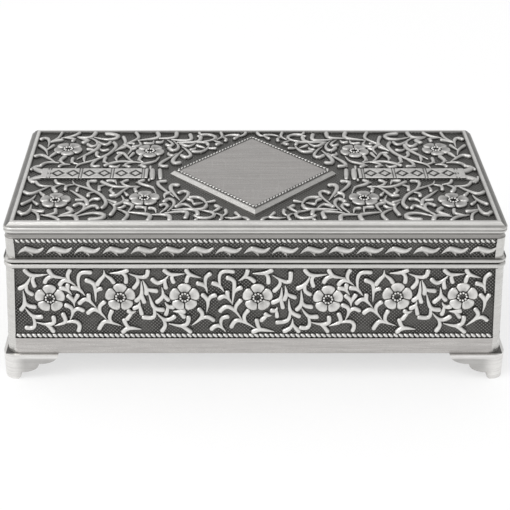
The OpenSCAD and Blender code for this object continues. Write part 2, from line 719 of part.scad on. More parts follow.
module foot_rear_right() { foot(); }
module foot_rear_left() { mirror([1, 0, 0]) foot(); }
module foot_front_right() { mirror([0, 1, 0]) foot(); }
module foot_front_left() { mirror([0, 1, 0]) mirror([1, 0, 0]) foot(); }

module foot_screws() {
    tip_z = foot_h - foot_web_t + screw_tip;
    color(steel)
        at_screws() {
            translate([0, 0, tip_z]) cylinder(h = floor_z - screw_head_h - tip_z, r = screw_r);
            translate([0, 0, floor_z - screw_head_h])
                cylinder(h = screw_head_h, r1 = screw_r, r2 = screw_head_r);
        }
}

module board(x0, x1, y0, y1, z0, z1) {
    color(velvet) translate([x0, y0, z0]) cube([x1 - x0, y1 - y0, z1 - z0]);
}

module floor_pad() {
    board(-field_x, field_x, -field_front_y, field_rear_y, board_z, board_z + floor_pad_t);
}

module lining_front() {
    board(-field_x, field_x, -front_board_y, lining_t - front_board_y, board_z, board_top);
}

module lining_rear() {
    board(-field_x, field_x, rear_board_y - lining_t, rear_board_y, board_z, board_top);
}

module lining_right() {
    board(side_board_x - lining_t, side_board_x, -front_board_y, rear_board_y, board_z, board_top);
}

module lining_left() { mirror([1, 0, 0]) lining_right(); }

// One leaf of a hinge, its neck and its knuckles. The leaf lies on the inside of the wall,
// below the axis for the body and above it for the lid.
module hinge_leaf(knuckles, below) {
    side = below ? -1 : 1;
    color(brass)
        difference() {
            union() {
                mirror([0, 0, below ? 1 : 0]) {
                    translate([-hinge_w / 2, leaf_face_y - leaf_t, neck_gap])
                        cube([hinge_w, leaf_t, leaf_h]);
                    for (span = knuckles)
                        translate([span[0], leaf_face_y - leaf_t, neck_gap])
                            cube([span[1] - span[0], hinge_y - leaf_face_y, neck_t]);
                }
                for (span = knuckles)
                    translate([span[0], hinge_y, 0])
                        rotate([0, 90, 0]) cylinder(h = span[1] - span[0], r = barrel_r);
            }
            translate([-hinge_w / 2 - overshoot, hinge_y, 0])
                rotate([0, 90, 0]) cylinder(h = hinge_w + 2 * overshoot, r = pin_r + pin_gap);
            at_rivets(side * (neck_gap + leaf_h - rivet_z)) cylinder(h = box_d, r = rivet_r + pin_gap);
        }
}

mid_knuckle = hinge_w * lid_knuckle / 2;

module body_leaf() {
    translate([0, 0, hinge_z])
        hinge_leaf(
            [[-hinge_w / 2, -mid_knuckle - knuckle_gap], [mid_knuckle + knuckle_gap, hinge_w / 2]],
            true
        );
}

module lid_leaf() {
    translate([0, 0, hinge_z])
        hinge_leaf([[-mid_knuckle, mid_knuckle]], false);
}

module hinge_pin() {
    pin_half = hinge_w / 2;
    color(steel)
        translate([-pin_half, hinge_y, hinge_z])
            rotate([0, 90, 0]) cylinder(h = 2 * pin_half, r = pin_r);
}

module hinge_left_body_leaf() { translate([-hinge_x, 0, 0]) body_leaf(); }
module hinge_left_lid_leaf() { translate([-hinge_x, 0, 0]) lid_leaf(); }
module hinge_left_pin() { translate([-hinge_x, 0, 0]) hinge_pin(); }
module hinge_right_body_leaf() { translate([hinge_x, 0, 0]) body_leaf(); }
module hinge_right_lid_leaf() { translate([hinge_x, 0, 0]) lid_leaf(); }
module hinge_right_pin() { translate([hinge_x, 0, 0]) hinge_pin(); }

// A rivet along +Y, from its closed head on a leaf to its round head outside the wall
module rivet(seat) {
    inside = leaf_face_y - leaf_t;
    color(brass) {
        translate([0, 0, inside - rivet_head_h]) cylinder(h = rivet_head_h, r = rivet_head_r);
        translate([0, 0, inside - rivet_head_h / 2]) cylinder(h = seat - inside + rivet_head_h, r = rivet_r);
        translate([0, 0, seat]) cylinder(h = rivet_head_h, r = rivet_head_r);
    }
}

module body_hinge_rivets() { at_hinges() at_rivets(body_rivet_z) rivet(body_rivet_seat); }
module lid_hinge_rivets() { at_hinges() at_rivets(lid_rivet_z) rivet(lid_rivet_seat); }

// The sloping border with sharp corners on top of the lid
module lid_border() {
    intersection() {
        border_prism(half_d, 2 * half_w);
        rotate(90) border_prism(half_w, 2 * half_d);
    }
}

module border_prism(half, len) {
    foot = half - border_in;
    top = foot - border_slope_w;
    translate([-len / 2, 0, 0])
        rotate([90, 0, 90])
            linear_extrude(len)
                polygon([
                    [-foot, ceiling_z],
                    [foot, ceiling_z],
                    [foot, border_z],
                    [top, lid_top_z],
                    [-top, lid_top_z],
                    [-foot, border_z]
                ]);
}

// The two straps across the lid's ground, one on each side of the engraving plate
module straps() {
    near = plate_half_w + plate_bevel_w + strap_start;
    far = half_w - frame_in - strap_end;
    for (side = [0, 1])
        mirror([side, 0, 0])
            translate([near, -strap_w / 2, ceiling_z])
                cube([far - near, strap_w, lid_top_t + strap_t]);
}

module lid_casting() {
    color(pewter)
        difference() {
            union() {
                difference() {
                    ring() lid_section();
                    panel_cuts(leaf_recess, leaf_z, cove_z, -band_in, -band_in);
                }
                rope_core(leaf_recess, lid_rope_z, lid_rope_h, -band_in);
                difference() {
                    lid_border();
                    translate([frame_in - half_w, frame_in - half_d, lid_ground_z])
                        cube([2 * (half_w - frame_in), 2 * (half_d - frame_in), lid_recess + overshoot]);
                }
                top_relief();
                straps();
            }
            at_hinges() {
                hinge_notch(false);
                at_rivets(lid_rivet_z) cylinder(h = box_d, r = rivet_r + pin_gap);
            }
            for (side = [-1, 1])
                translate([side * stud_x, 0, ceiling_z - overshoot])
                    cylinder(h = lid_top_t + 2 * overshoot, r = stud_r + pin_gap);
        }
}

// A bar whose section across the plate's edge has the plate's bevels
module plate_bar(turn) {
    edge = sqrt(plate_half_w * plate_half_w + plate_half_d * plate_half_d);
    half_top = plate_half_w * plate_half_d / edge;
    half_foot = half_top + plate_bevel_w;
    rotate(turn)
        translate([-2 * edge, 0, 0])
            rotate([90, 0, 90])
                linear_extrude(4 * edge)
                    polygon([
                        [-half_foot, 0],
                        [half_foot, 0],
                        [half_foot, plate_edge_h],
                        [half_top, plate_t],
                        [-half_top, plate_t],
                        [-half_foot, plate_edge_h]
                    ]);
}

module engraving_plate() {
    edge_turn = atan2(plate_half_d, plate_half_w);
    color(dark_pewter)
        translate([0, 0, lid_ground_z]) {
            intersection() {
                plate_bar(edge_turn);
                plate_bar(-edge_turn);
            }
            for (side = [-1, 1])
                translate([side * stud_x, 0, -lid_top_t]) cylinder(h = lid_top_t + plate_edge_h, r = stud_r);
        }
}

module lid_pad() {
    far_x = inner_w - soft_gap;
    board(-far_x, far_x, -front_board_y, rear_board_y, lid_pad_z, lid_pad_z + lid_pad_t);
}

module lid_lining_front() {
    board(-field_x, field_x, -front_board_y, lining_t - front_board_y, lid_board_z, lid_board_top);
}

module lid_lining_rear() {
    board(-field_x, field_x, rear_board_y - lining_t, rear_board_y, lid_board_z, lid_board_top);
}

module lid_lining_right() {
    board(side_board_x - lining_t, side_board_x, -front_board_y, rear_board_y, lid_board_z, lid_board_top);
}

module lid_lining_left() { mirror([1, 0, 0]) lid_lining_right(); }

body_casting();
bottom_plate();
base_felt();
foot_front_left();
foot_front_right();
foot_rear_left();
foot_rear_right();
foot_screws();
floor_pad();
lining_front();
lining_rear();
lining_left();
lining_right();
hinge_left_body_leaf();
hinge_left_lid_leaf();
hinge_left_pin();
hinge_right_body_leaf();
hinge_right_lid_leaf();
hinge_right_pin();
body_hinge_rivets();
lid_hinge_rivets();
lid_casting();
engraving_plate();
lid_pad();
lid_lining_front();
lid_lining_rear();
lid_lining_left();
lid_lining_right();
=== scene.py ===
import json
import math

import bmesh
import bpy
from mathutils import Matrix, Vector, noise


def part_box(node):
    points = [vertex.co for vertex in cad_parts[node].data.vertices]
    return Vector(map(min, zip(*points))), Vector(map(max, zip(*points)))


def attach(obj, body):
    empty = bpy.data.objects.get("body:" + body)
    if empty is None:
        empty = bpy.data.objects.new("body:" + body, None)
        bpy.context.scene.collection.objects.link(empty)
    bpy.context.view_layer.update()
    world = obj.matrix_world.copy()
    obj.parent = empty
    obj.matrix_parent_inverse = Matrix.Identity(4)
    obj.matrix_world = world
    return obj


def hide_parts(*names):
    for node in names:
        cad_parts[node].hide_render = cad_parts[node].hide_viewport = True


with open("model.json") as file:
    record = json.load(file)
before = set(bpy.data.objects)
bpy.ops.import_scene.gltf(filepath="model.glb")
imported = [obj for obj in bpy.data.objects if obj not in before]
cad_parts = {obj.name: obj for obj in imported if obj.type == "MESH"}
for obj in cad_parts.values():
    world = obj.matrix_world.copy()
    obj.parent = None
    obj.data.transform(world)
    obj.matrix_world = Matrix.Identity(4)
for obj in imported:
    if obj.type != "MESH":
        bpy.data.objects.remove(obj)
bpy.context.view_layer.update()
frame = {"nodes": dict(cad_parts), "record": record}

nodes = frame["nodes"]
mm = 0.001

# the casting's own sizes, in millimetres, as the source has them
casting = {
    "halfW": 75.0, "halfD": 36.0,
    "rimZ": 38.1, "bodyZ": 8.8, "ropeZ": 14.1, "panelZ": 15.4,
    "lidRimZ": 40.0, "leafZ": 41.5, "lidRopeZ": 46.4, "coveZ": 48.0, "ridgeZ": 49.7,
    "lidTopZ": 52.7, "lidGroundZ": 51.8, "groundHalfW": 71.8, "groundHalfD": 32.8,
    "recess": 0.9, "bandRecess": 0.7, "bandSetback": 0.3, "post": 2.9,
    "draftTop": 0.2, "draftRise": 1.5, "draftSpan": 29.3, "beadIn": 0.1, "panelFrom": 0.12, "postSlack": 0.1,
}

wallTurns = {"front": 0.0, "right": math.radians(90), "rear": math.radians(180), "left": math.radians(-90)}


def wallOut(z):
    # how far the drafted wall stands out at this height
    return casting["draftTop"] + casting["draftRise"] * (casting["rimZ"] - z) / casting["draftSpan"]


def wallHalf(side):
    # distance of a wall from the middle of the box
    return casting["halfD"] if side in ("front", "rear") else casting["halfW"]


def onBodyWall(side):
    # (along, up, lift) on a body panel's ground, as a place in metres
    turn = Matrix.Rotation(wallTurns[side], 3, "Z")

    def place(u, v, lift):
        out = wallHalf(side) + wallOut(v) - casting["recess"] + lift
        return turn @ Vector((u, -out, v)) * mm
    return place


def onLidBand(side):
    # (along, up, lift) on the lid's upright band
    turn = Matrix.Rotation(wallTurns[side], 3, "Z")

    def place(u, v, lift):
        out = wallHalf(side) - casting["bandSetback"] - casting["bandRecess"] + lift
        return turn @ Vector((u, -out, v)) * mm
    return place


def onLidTop(flipX, flipY):
    # (x, y, lift) on the sunk top, in one of its four mirrored quarters
    def place(u, v, lift):
        return Vector((u * flipX, v * flipY, casting["lidGroundZ"] + lift)) * mm
    return place


# a stroke's section, and how its two ends are rounded off
# the wide sloping foot at the ground line stays dark: painted contact shadow round each stroke, with patina in the
# crease
reliefSection = [(1.32, -0.10), (1.03, 0.10), (0.93, 0.50), (0.62, 0.84), (0.0, 1.0),
                 (-0.62, 0.84), (-0.93, 0.50), (-1.03, 0.10), (-1.32, -0.10)]
stroke = {"step": 0.28, "belly": 0.16, "tailCap": [(-0.95, 0.30), (-0.60, 0.80)],
          "headCap": (32, 58, 80), "headReach": 0.8, "headRound": 0.7}
blankStore = {}


def addObject(name, data):
    thing = bpy.data.objects.new(name, data)
    bpy.context.scene.collection.objects.link(thing)
    return thing


def finishPiece(name, bm, material, body, smooth=True):
    # turns the faces' normals outward, makes the object, and hands it to its body and slot
    bmesh.ops.recalc_face_normals(bm, faces=bm.faces)
    mesh = bpy.data.meshes.new(name)
    bm.to_mesh(mesh)
    bm.free()
    for face in mesh.polygons:
        face.use_smooth = smooth
    mesh.materials.append(material)
    piece = addObject(name, mesh)
    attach(piece, body)
    return piece


def keepBlank(name, bm):
    # puts a small mesh away, so that every copy starts from it
    blank = bpy.data.meshes.new(name)
    bm.to_mesh(blank)
    bm.free()
    blankStore[name] = blank
    return blank


def addCopy(bm, blank):
    # adds a blank to the mesh and gives the new points
    count = len(bm.verts)
    bm.from_mesh(blank)
    bm.verts.ensure_lookup_table()
    return bm.verts[count:]


def growEdges(bm, edges):
    # extrudes a loop of edges; gives the new points and the new loop
    grown = bmesh.ops.extrude_edge_only(bm, edges=edges)["geom"]
    newVerts = [g for g in grown if isinstance(g, bmesh.types.BMVert)]
    newSet = set(newVerts)
    newEdges = [g for g in grown if isinstance(g, bmesh.types.BMEdge)
                and g.verts[0] in newSet and g.verts[1] in newSet]
    return newVerts, newEdges


def strokeBlank(rings):
    # a straight arched bar, one unit between its rings, closed at both ends
    name = "strokeBlank%d" % rings
    if name in blankStore:
        return blankStore[name]
    bm = bmesh.new()
    loop = [bm.verts.new((x, y, 0.0)) for x, y in reliefSection]
    edges = [bm.edges.new((loop[i - 1], loop[i])) for i in range(len(loop))]
    bmesh.ops.contextual_create(bm, geom=edges)
    for ring in range(1, rings):
        newVerts, edges = growEdges(bm, edges)
        bmesh.ops.translate(bm, verts=newVerts, vec=(0.0, 0.0, 1.0))
    bmesh.ops.contextual_create(bm, geom=edges)
    return keepBlank(name, bm)


def domeBlank():
    # a unit dome of a few loops that petals are shaped from
    if "domeBlank" in blankStore:
        return blankStore["domeBlank"]
    bm = bmesh.new()
    bmesh.ops.create_circle(bm, cap_ends=False, segments=20, radius=1.0)
    edges = list(bm.edges)
    bmesh.ops.contextual_create(bm, geom=edges)
    for radius, height in ((0.97, 0.50), (0.90, 0.86), (0.62, 1.0), (0.28, 0.93)):
        newVerts, edges = growEdges(bm, edges)
        for vert in newVerts:
            flat = vert.co.xy.normalized() * radius
            vert.co = (flat.x, flat.y, height)
    bmesh.ops.contextual_create(bm, geom=edges)
    return keepBlank("domeBlank", bm)


def ballBlank(rings):
    # a small ball for flower hearts, ropes and beading
    name = "ballBlank%d" % rings
    if name in blankStore:
        return blankStore[name]
    bm = bmesh.new()
    bmesh.ops.create_uvsphere(bm, u_segments=8, v_segments=rings, radius=1.0)
    return keepBlank(name, bm)


def smoothPath(points, passes):
    # a close run of points on one smooth curve through the given ones, its tight corners eased
    pts = [Vector(p) for p in points]
    ends = [pts[0] * 2 - pts[1]] + pts + [pts[-1] * 2 - pts[-2]]
    fine = []
    for i in range(1, len(ends) - 2):
        p0, p1, p2, p3 = ends[i - 1:i + 3]
        steps = max(3, int((p2 - p1).length / stroke["step"]))
        for step in range(steps):
            t = step / steps
            fine.append(0.5 * (2 * p1 + (p2 - p0) * t + (2 * p0 - 5 * p1 + 4 * p2 - p3) * t * t
                               + (3 * p1 - p0 - 3 * p2 + p3) * t ** 3))
    fine.append(pts[-1])
    for _ in range(passes):
        fine = [fine[0]] + [fine[i] * 0.5 + (fine[i - 1] + fine[i + 1]) * 0.25
                            for i in range(1, len(fine) - 1)] + [fine[-1]]
    return fine


def pathAt(fine, lengths, distance):
    # point and direction at a distance along a smooth path
    distance = max(0.0, min(distance, lengths[-1]))
    i = 1
    while i < len(lengths) - 1 and lengths[i] < distance:
        i += 1
    share = (distance - lengths[i - 1]) / max(lengths[i] - lengths[i - 1], 1e-6)
    point = fine[i - 1].lerp(fine[i], share)
    low, high = max(i - 2, 0), min(i + 1, len(fine) - 1)
    return point, (fine[high] - fine[low]).normalized()


def layStroke(bm, place, points, widths, lifts, swell, spacing, passes=16):
    # bends a blank along the points, from its thin tail to its blunt head; widths and lifts are (tail, head)
    fine = smoothPath(points, passes)
    lengths = [0.0]
    for a, b in zip(fine, fine[1:]):
        lengths.append(lengths[-1] + (b - a).length)
    total = lengths[-1]
    tailR, headR = widths[0] * 0.5, widths[1] * 0.5
    stops = [(tailR * out, size) for out, size in stroke["tailCap"]]
    inner = max(4, int(math.ceil(total / spacing)))
    stops += [(total * i / inner, 1.0) for i in range(inner + 1)]
    stops += [(total + headR * stroke["headReach"] * math.sin(math.radians(turn)),
               math.cos(math.radians(turn)) ** stroke["headRound"]) for turn in stroke["headCap"]]
    frames = []
    for distance, size in stops:
        t = max(0.0, min(distance / total, 1.0))
        point, along = pathAt(fine, lengths, distance)
        point = point + along * (distance - max(0.0, min(distance, total)))
        width = (widths[0] + (widths[1] - widths[0]) * t ** swell) * (
            1.0 + stroke["belly"] * math.sin(math.pi * t) ** 2)
        lift = lifts[0] + (lifts[1] - lifts[0]) * t ** swell
        frames.append((point, Vector((-along.y, along.x)), width * 0.5 * size, lift * size ** 0.5))
    rise = bm.verts.layers.float["rise"]
    for vert in addCopy(bm, strokeBlank(len(stops))):
        point, across, half, lift = frames[int(round(vert.co.z))]
        x, y = vert.co.x, vert.co.y
        spot = point + across * (x * half)
        # brightness follows the section's height: patina and painted contact shadow low, painted highlight on the top
        vert[rise] = max(0.0, y)
        vert.co = place(spot.x, spot.y, lift * y if y > 0 else y)


# the five-petal flower; its petals dip towards the heart, with painted shade darkening them there and a painted
# highlight on their rims
flower = {"radius": 4.75, "petals": 5, "inner": 1.75, "gap": 0.06, "lift": 0.95, "round": 0.10, "foot": -0.12,
          "dish": 0.20, "heartTone": 0.46, "bodyTone": 0.26, "rimTone": 0.26,
          "beads": 9, "beadRing": 1.28, "beadR": 0.40, "beadLift": 1.0}


def layFlower(bm, place, centre, startAngle, radius):
    # petals round a ring of beads, the middle left dark
    scale = radius / flower["radius"]
    rise = bm.verts.layers.float["rise"]
    for petal in range(flower["petals"]):
        turn = math.radians(startAngle + 360 * petal / flower["petals"])
        for vert in addCopy(bm, domeBlank()):
            x, y, z = vert.co
            angle = math.atan2(y, x)
            square = (abs(math.cos(angle)) ** 6 + abs(math.sin(angle)) ** 6) ** (-1 / 6)
            p, q = x * square, y * square
            outer = flower["radius"] * (1.0 - flower["round"] * abs(p) ** 2.6)
            out = flower["inner"] + (outer - flower["inner"]) * (q + 1) * 0.5
            fan = turn + p * (math.radians(180 / flower["petals"]) - math.asin(flower["gap"] / out))
            dish = 1.0 - flower["dish"] * max(0.0, 1.0 - abs(p) * 1.6) * (0.5 - 0.5 * q)
            # painted shade towards the heart and a painted highlight on the rims, over patina at the petal's foot
            vert[rise] = min(1.0, z * 1.5) * (flower["heartTone"] + flower["bodyTone"] * min(1.0, (q + 1.0) * 0.8)
                                              + flower["rimTone"] * max(0.0, max(abs(p), q) - 0.45) / 0.55)
            vert.co = place(centre[0] + out * scale * math.cos(fan), centre[1] + out * scale * math.sin(fan),
                            flower["lift"] * z * dish if z > 0 else flower["foot"])
    ring, beadR = flower["beadRing"] * scale, flower["beadR"] * scale
    for bead in range(flower["beads"]):
        turn = 2 * math.pi * bead / flower["beads"]
        u, v = centre[0] + ring * math.cos(turn), centre[1] + ring * math.sin(turn)
        for vert in addCopy(bm, ballBlank(5)):
            x, y, z = vert.co
            # the beads darker low down: patina and painted contact shadow
            vert[rise] = 0.75 + 0.6 * z
            vert.co = place(u + x * beadR, v + y * beadR, flower["beadLift"] - beadR + z * beadR)


def newRelief():
    # an empty mesh with room for how bright each point is: patina and painted contact shadow low down, worn metal and
    # painted highlight on top
    bm = bmesh.new()
    bm.verts.layers.float.new("rise")
    return bm


class Wire:
    # a value in a node tree that takes plain arithmetic, one Math node for each step
    def __init__(self, tree, socket):
        self.tree, self.socket = tree, socket

    def __add__(self, other):
        return calc("ADD", self, other)

    def __radd__(self, other):
        return calc("ADD", other, self)

    def __sub__(self, other):
        return calc("SUBTRACT", self, other)

    def __rsub__(self, other):
        return calc("SUBTRACT", other, self)

    def __mul__(self, other):
        return calc("MULTIPLY", self, other)

    def __truediv__(self, other):
        return calc("DIVIDE", self, other)

    def __rtruediv__(self, other):
        return calc("DIVIDE", other, self)

    def __abs__(self):
        return calc("ABSOLUTE", self)

    def __gt__(self, other):
        return calc("GREATER_THAN", self, other)

    def __lt__(self, other):
        return calc("LESS_THAN", self, other)


def feed(slot, value):
    # a wire or a constant into a socket
    if isinstance(value, Wire):
        value.tree.links.new(value.socket, slot)
    else:
        slot.default_value = value


def treeOf(*values):
    return next(value.tree for value in values if isinstance(value, Wire))


def calc(operation, *values, clamp=False):
    tree = treeOf(*values)
    node = tree.nodes.new("ShaderNodeMath")
    node.operation = operation
    node.use_clamp = clamp
    for slot, value in zip(node.inputs, values):
        feed(slot, value)
    return Wire(tree, node.outputs[0])


def larger(first, *others):
    for other in others:
        first = calc("MAXIMUM", first, other)
    return first


def ramp(value, low, high):
    # 0 below low, 1 above high, smooth between
    node = value.tree.nodes.new("ShaderNodeMapRange")
    node.interpolation_type = "SMOOTHSTEP"
    feed(node.inputs["Value"], value)
    feed(node.inputs["From Min"], low)
    feed(node.inputs["From Max"], high)
    return Wire(value.tree, node.outputs["Result"])


def fade(value, low, high):
    return 1.0 - ramp(value, low, high)


def nearTo(value, centre, inner, outer):
    # 1 on a line where the value is at its centre, fading out on both sides
    return fade(abs(value - centre), inner, outer)


def blendColor(amount, low, high, mode="MIX"):
    tree = treeOf(amount, low, high)
    node = tree.nodes.new("ShaderNodeMix")
    node.data_type = "RGBA"
    node.blend_type = mode
    feed(node.inputs[0], amount)
    feed(node.inputs[6], low)
    feed(node.inputs[7], high)
    return Wire(tree, node.outputs[2])


def greyOf(value):
    node = value.tree.nodes.new("ShaderNodeCombineColor")
    for slot in node.inputs[:3]:
        feed(slot, value)
    return Wire(value.tree, node.outputs[0])


def noiseOf(vector, scale, detail=4.0, rough=0.55):
    node = vector.tree.nodes.new("ShaderNodeTexNoise")
    for label, value in (("Vector", vector), ("Scale", scale), ("Detail", detail), ("Roughness", rough)):
        feed(node.inputs[label], value)
    return Wire(vector.tree, node.outputs["Fac"])


def stretched(vector, scale):
    node = vector.tree.nodes.new("ShaderNodeMapping")
    feed(node.inputs["Vector"], vector)
    feed(node.inputs["Scale"], scale)
    return Wire(vector.tree, node.outputs["Vector"])


def splitUp(vector):
    node = vector.tree.nodes.new("ShaderNodeSeparateXYZ")
    feed(node.inputs[0], vector)
    return [Wire(vector.tree, out) for out in node.outputs]


def place3(vector):
    # x, y, z in millimetres
    return [out * 1000.0 for out in splitUp(vector)]


def makeGroup(name, inputs, outputs):
    # an empty node group with named sockets, its inputs as wires
    group = bpy.data.node_groups.new(name, "ShaderNodeTree")
    for label, value in inputs.items():
        kind = "Float" if isinstance(value, float) else {3: "Vector", 4: "Color"}[len(value)]
        socket = group.interface.new_socket(label, in_out="INPUT", socket_type="NodeSocket" + kind)
        socket.default_value = value
    for label in outputs:
        kind = "Color" if label == "Color" else "Float"
        group.interface.new_socket(label, in_out="OUTPUT", socket_type="NodeSocket" + kind)
    given = {out.name: Wire(group, out) for out in group.nodes.new("NodeGroupInput").outputs if out.name}
    return group, given, group.nodes.new("NodeGroupOutput").inputs


def useGroup(group, **values):
    # places a group in the tree that its wires come from
    tree = treeOf(*values.values())
    node = tree.nodes.new("ShaderNodeGroup")
    node.node_tree = group
    for label, value in values.items():
        feed(node.inputs[label], value)
    return {out.name: Wire(tree, out) for out in node.outputs}


def buildStippleGroup():
    # diagonal punched dots on a plane given by Across and Up, in millimetres
    group, given, result = makeGroup("stippledGround", {"Vector": (0, 0, 0), "Across": 0.0, "Up": 0.0, "Pitch": 1.14},
                                     ["Dots", "Patch", "Height"])
    wander = (noiseOf(given["Vector"], 200.0) - 0.5) * 0.35
    turns = 2 * math.pi / given["Pitch"]
    waveA = calc("COSINE", (given["Across"] + wander) * turns)
    waveB = calc("COSINE", (given["Up"] - wander) * turns)
    worn = ramp(noiseOf(given["Vector"], 110.0, 3.0), 0.38, 0.62)
    dots = ramp(waveA * waveB, -0.05, 0.5) * (worn * 0.60 + 0.40)
    feed(result["Dots"], dots)
    feed(result["Patch"], 1.0 - worn)
    feed(result["Height"], dots + noiseOf(given["Vector"], 2600.0) * 0.4)
    return group


def buildPatinaGroup():
    # mixes dark patina and bright worn metal by its mixing amount, which also carries painted shade and painted
    # highlight, broken up by small mottling
    group, given, result = makeGroup("patinaAndPaintedShade", {
        "Vector": (0, 0, 0), "Rubbed": 1.0, "Dark": (0.07, 0.07, 0.065, 1), "Bright": (0.8, 0.8, 0.78, 1),
        "Mottle": 0.2, "Grain": 0.42}, ["Color", "Roughness", "Height"])
    coarse = noiseOf(given["Vector"], 210.0, 5.0, 0.6)
    fine = noiseOf(given["Vector"], 1500.0, 3.0, 0.6)
    sway = (coarse - 0.5) * given["Mottle"]
    amount = calc("ADD", given["Rubbed"], sway * 1.6, clamp=True)
    tone = 1.0 + (sway * 0.5 + (fine - 0.5) * given["Grain"])
    feed(result["Color"], blendColor(1.0, blendColor(amount, given["Dark"], given["Bright"]),
                                     greyOf(tone), "MULTIPLY"))
    feed(result["Roughness"], amount * -0.16 + (0.48 + (fine - 0.5) * 0.14))
    feed(result["Height"], coarse * 0.5 + fine * 0.5)
    return group


def buildBrushGroup():
    # fine lines of a brush or emery along one axis
    group, given, result = makeGroup("brushedLines", {"Vector": (0, 0, 0)}, ["Lines", "Scratches"])
    lines = noiseOf(stretched(given["Vector"], (0.03, 1.0, 1.0)), 2300.0, 4.0, 0.7)
    broad = noiseOf(stretched(given["Vector"], (0.05, 1.0, 1.0)), 620.0, 3.0, 0.6)
    marks = noiseOf(stretched(given["Vector"], (1.0, 0.05, 1.0)), 2300.0, 2.0, 0.5)
    feed(result["Lines"], ramp(lines * 0.6 + broad * 0.4, 0.36, 0.64))
    feed(result["Scratches"], ramp(marks, 0.62, 0.72))
    return group


def buildNapGroup():
    # velvet or felt pile: fine tufts with broad brushed patches
    group, given, result = makeGroup("clothNap", {"Vector": (0, 0, 0), "Tuft": 3200.0, "Patch": 55.0},
                                     ["Shade", "Height"])
    tuft = noiseOf(given["Vector"], given["Tuft"], 2.0, 0.5)
    patch = noiseOf(given["Vector"], given["Patch"], 3.0, 0.5)
    feed(result["Shade"], ramp(patch, 0.36, 0.64) * 0.55 + tuft * 0.45)
    feed(result["Height"], tuft)
    return group


stippleGroup = buildStippleGroup()
patinaShadeGroup = buildPatinaGroup()
brushGroup = buildBrushGroup()
napGroup = buildNapGroup()
print("shader groups built")


def startMaterial(name):
    # a material, its shader and its object coordinates
    material = bpy.data.materials.new(name)
    material.use_nodes = True
    tree = material.node_tree
    where = Wire(tree, tree.nodes.new("ShaderNodeTexCoord").outputs["Object"])
    return material, tree.nodes["Principled BSDF"], where


def addBump(shader, height, distance, strength):
    node = height.tree.nodes.new("ShaderNodeBump")
    node.inputs["Strength"].default_value = strength
    node.inputs["Distance"].default_value = distance
    feed(node.inputs["Height"], height)
    feed(shader.inputs["Normal"], Wire(height.tree, node.outputs["Normal"]))


pewter = {
    "dark": (0.035, 0.034, 0.032, 1), "ground": (0.046, 0.045, 0.042, 1),
    "patch": (0.15, 0.147, 0.140, 1), "dot": (0.27, 0.265, 0.256, 1),
    # the top ornament's darker copy is painted shade; the brightest colour is a painted highlight on the lid border's
    # top
    "raised": (0.72, 0.712, 0.692, 1), "topRaisedShaded": (0.68, 0.67, 0.652, 1), "crestHighlight": (0.80, 0.79, 0.77, 1),
    # the plate's darker face colour is painted shade of its up-facing top
    "bright": (0.64, 0.632, 0.612, 1), "brushed": (0.54, 0.522, 0.506, 1), "plate": (0.47, 0.452, 0.438, 1),
    # the grey of the hollow under the lid's ridge is painted shade; the feet's brighter colour is a painted highlight
    "streak": (0.33, 0.316, 0.306, 1), "cove": (0.33, 0.321, 0.308, 1), "foot": (0.82, 0.808, 0.79, 1),
    "plateStreak": (0.28, 0.27, 0.26, 1), "scratch": (0.85, 0.84, 0.82, 1),
    "metal": 0.94, "patchShare": 0.5, "longBrush": (1.0, 0.05, 1.0),
    "castBump": (0.00016, 0.8), "ornamentBump": (0.00006, 0.6),
    "brushBump": (0.00005, 0.5), "footBump": (0.00004, 0.5),
}


def finishMetal(shader, color, rough, height, bump, metal=pewter["metal"]):
    # what every metal's shader is given; the bump is its depth in metres and its strength
    feed(shader.inputs["Base Color"], color)
    feed(shader.inputs["Roughness"], rough)
    shader.inputs["Metallic"].default_value = metal
    addBump(shader, height, *bump)


def ornamentFinish(name, bright, low, high):
    # raised ornament: patina and painted contact shadow low down, worn bright with a painted highlight on top
    material, shader, where = startMaterial(name)
    rise = where.tree.nodes.new("ShaderNodeAttribute")
    rise.attribute_name = "rise"
    rubbedAndLit = ramp(Wire(where.tree, rise.outputs["Fac"]), low, high)
    patina = useGroup(patinaShadeGroup, Vector=where, Rubbed=rubbedAndLit, Dark=pewter["dark"], Bright=bright, Mottle=0.34)
    finishMetal(shader, patina["Color"], patina["Roughness"], patina["Height"], pewter["ornamentBump"])
    return material


def sunkPanels(deepX, deepY, inRope, edge):
    # the sunk panels between the posts, on all four walls
    panelFrom, postIn = casting["panelFrom"], casting["post"] - casting["postSlack"]
    onX = larger(ramp(deepX, panelFrom, edge), inRope) * (deepY > postIn)
    onY = larger(ramp(deepY, panelFrom, edge), inRope) * (deepX > postIn)
    return larger(onX, onY)


def stippled(sunk, color, dots, share):
    # smooth lighter patches and punched dots on the sunk ground
    color = blendColor(sunk * dots["Patch"] * pewter["patchShare"], color, pewter["patch"])
    return blendColor(sunk * dots["Dots"] * share, color, pewter["dot"])


# the box's shading: painted shadow lines where the rim meets the lid, by height over the rim, and how far each tone
# goes
bodyShade = {"panelEdge": 0.62, "slack": 0.02, "ropeSlack": 0.05, "baseDeep": 0.25, "jointShadowDark": 0.92,
             "upperJoint": (1.40, 1.58), "lowerJoint": (0.05, 0.20), "mottle": 0.12, "grain": 0.16,
             "dots": 0.86, "streak": 0.16, "baseStreak": 0.34, "lineRough": 0.22, "lineTall": 0.10}


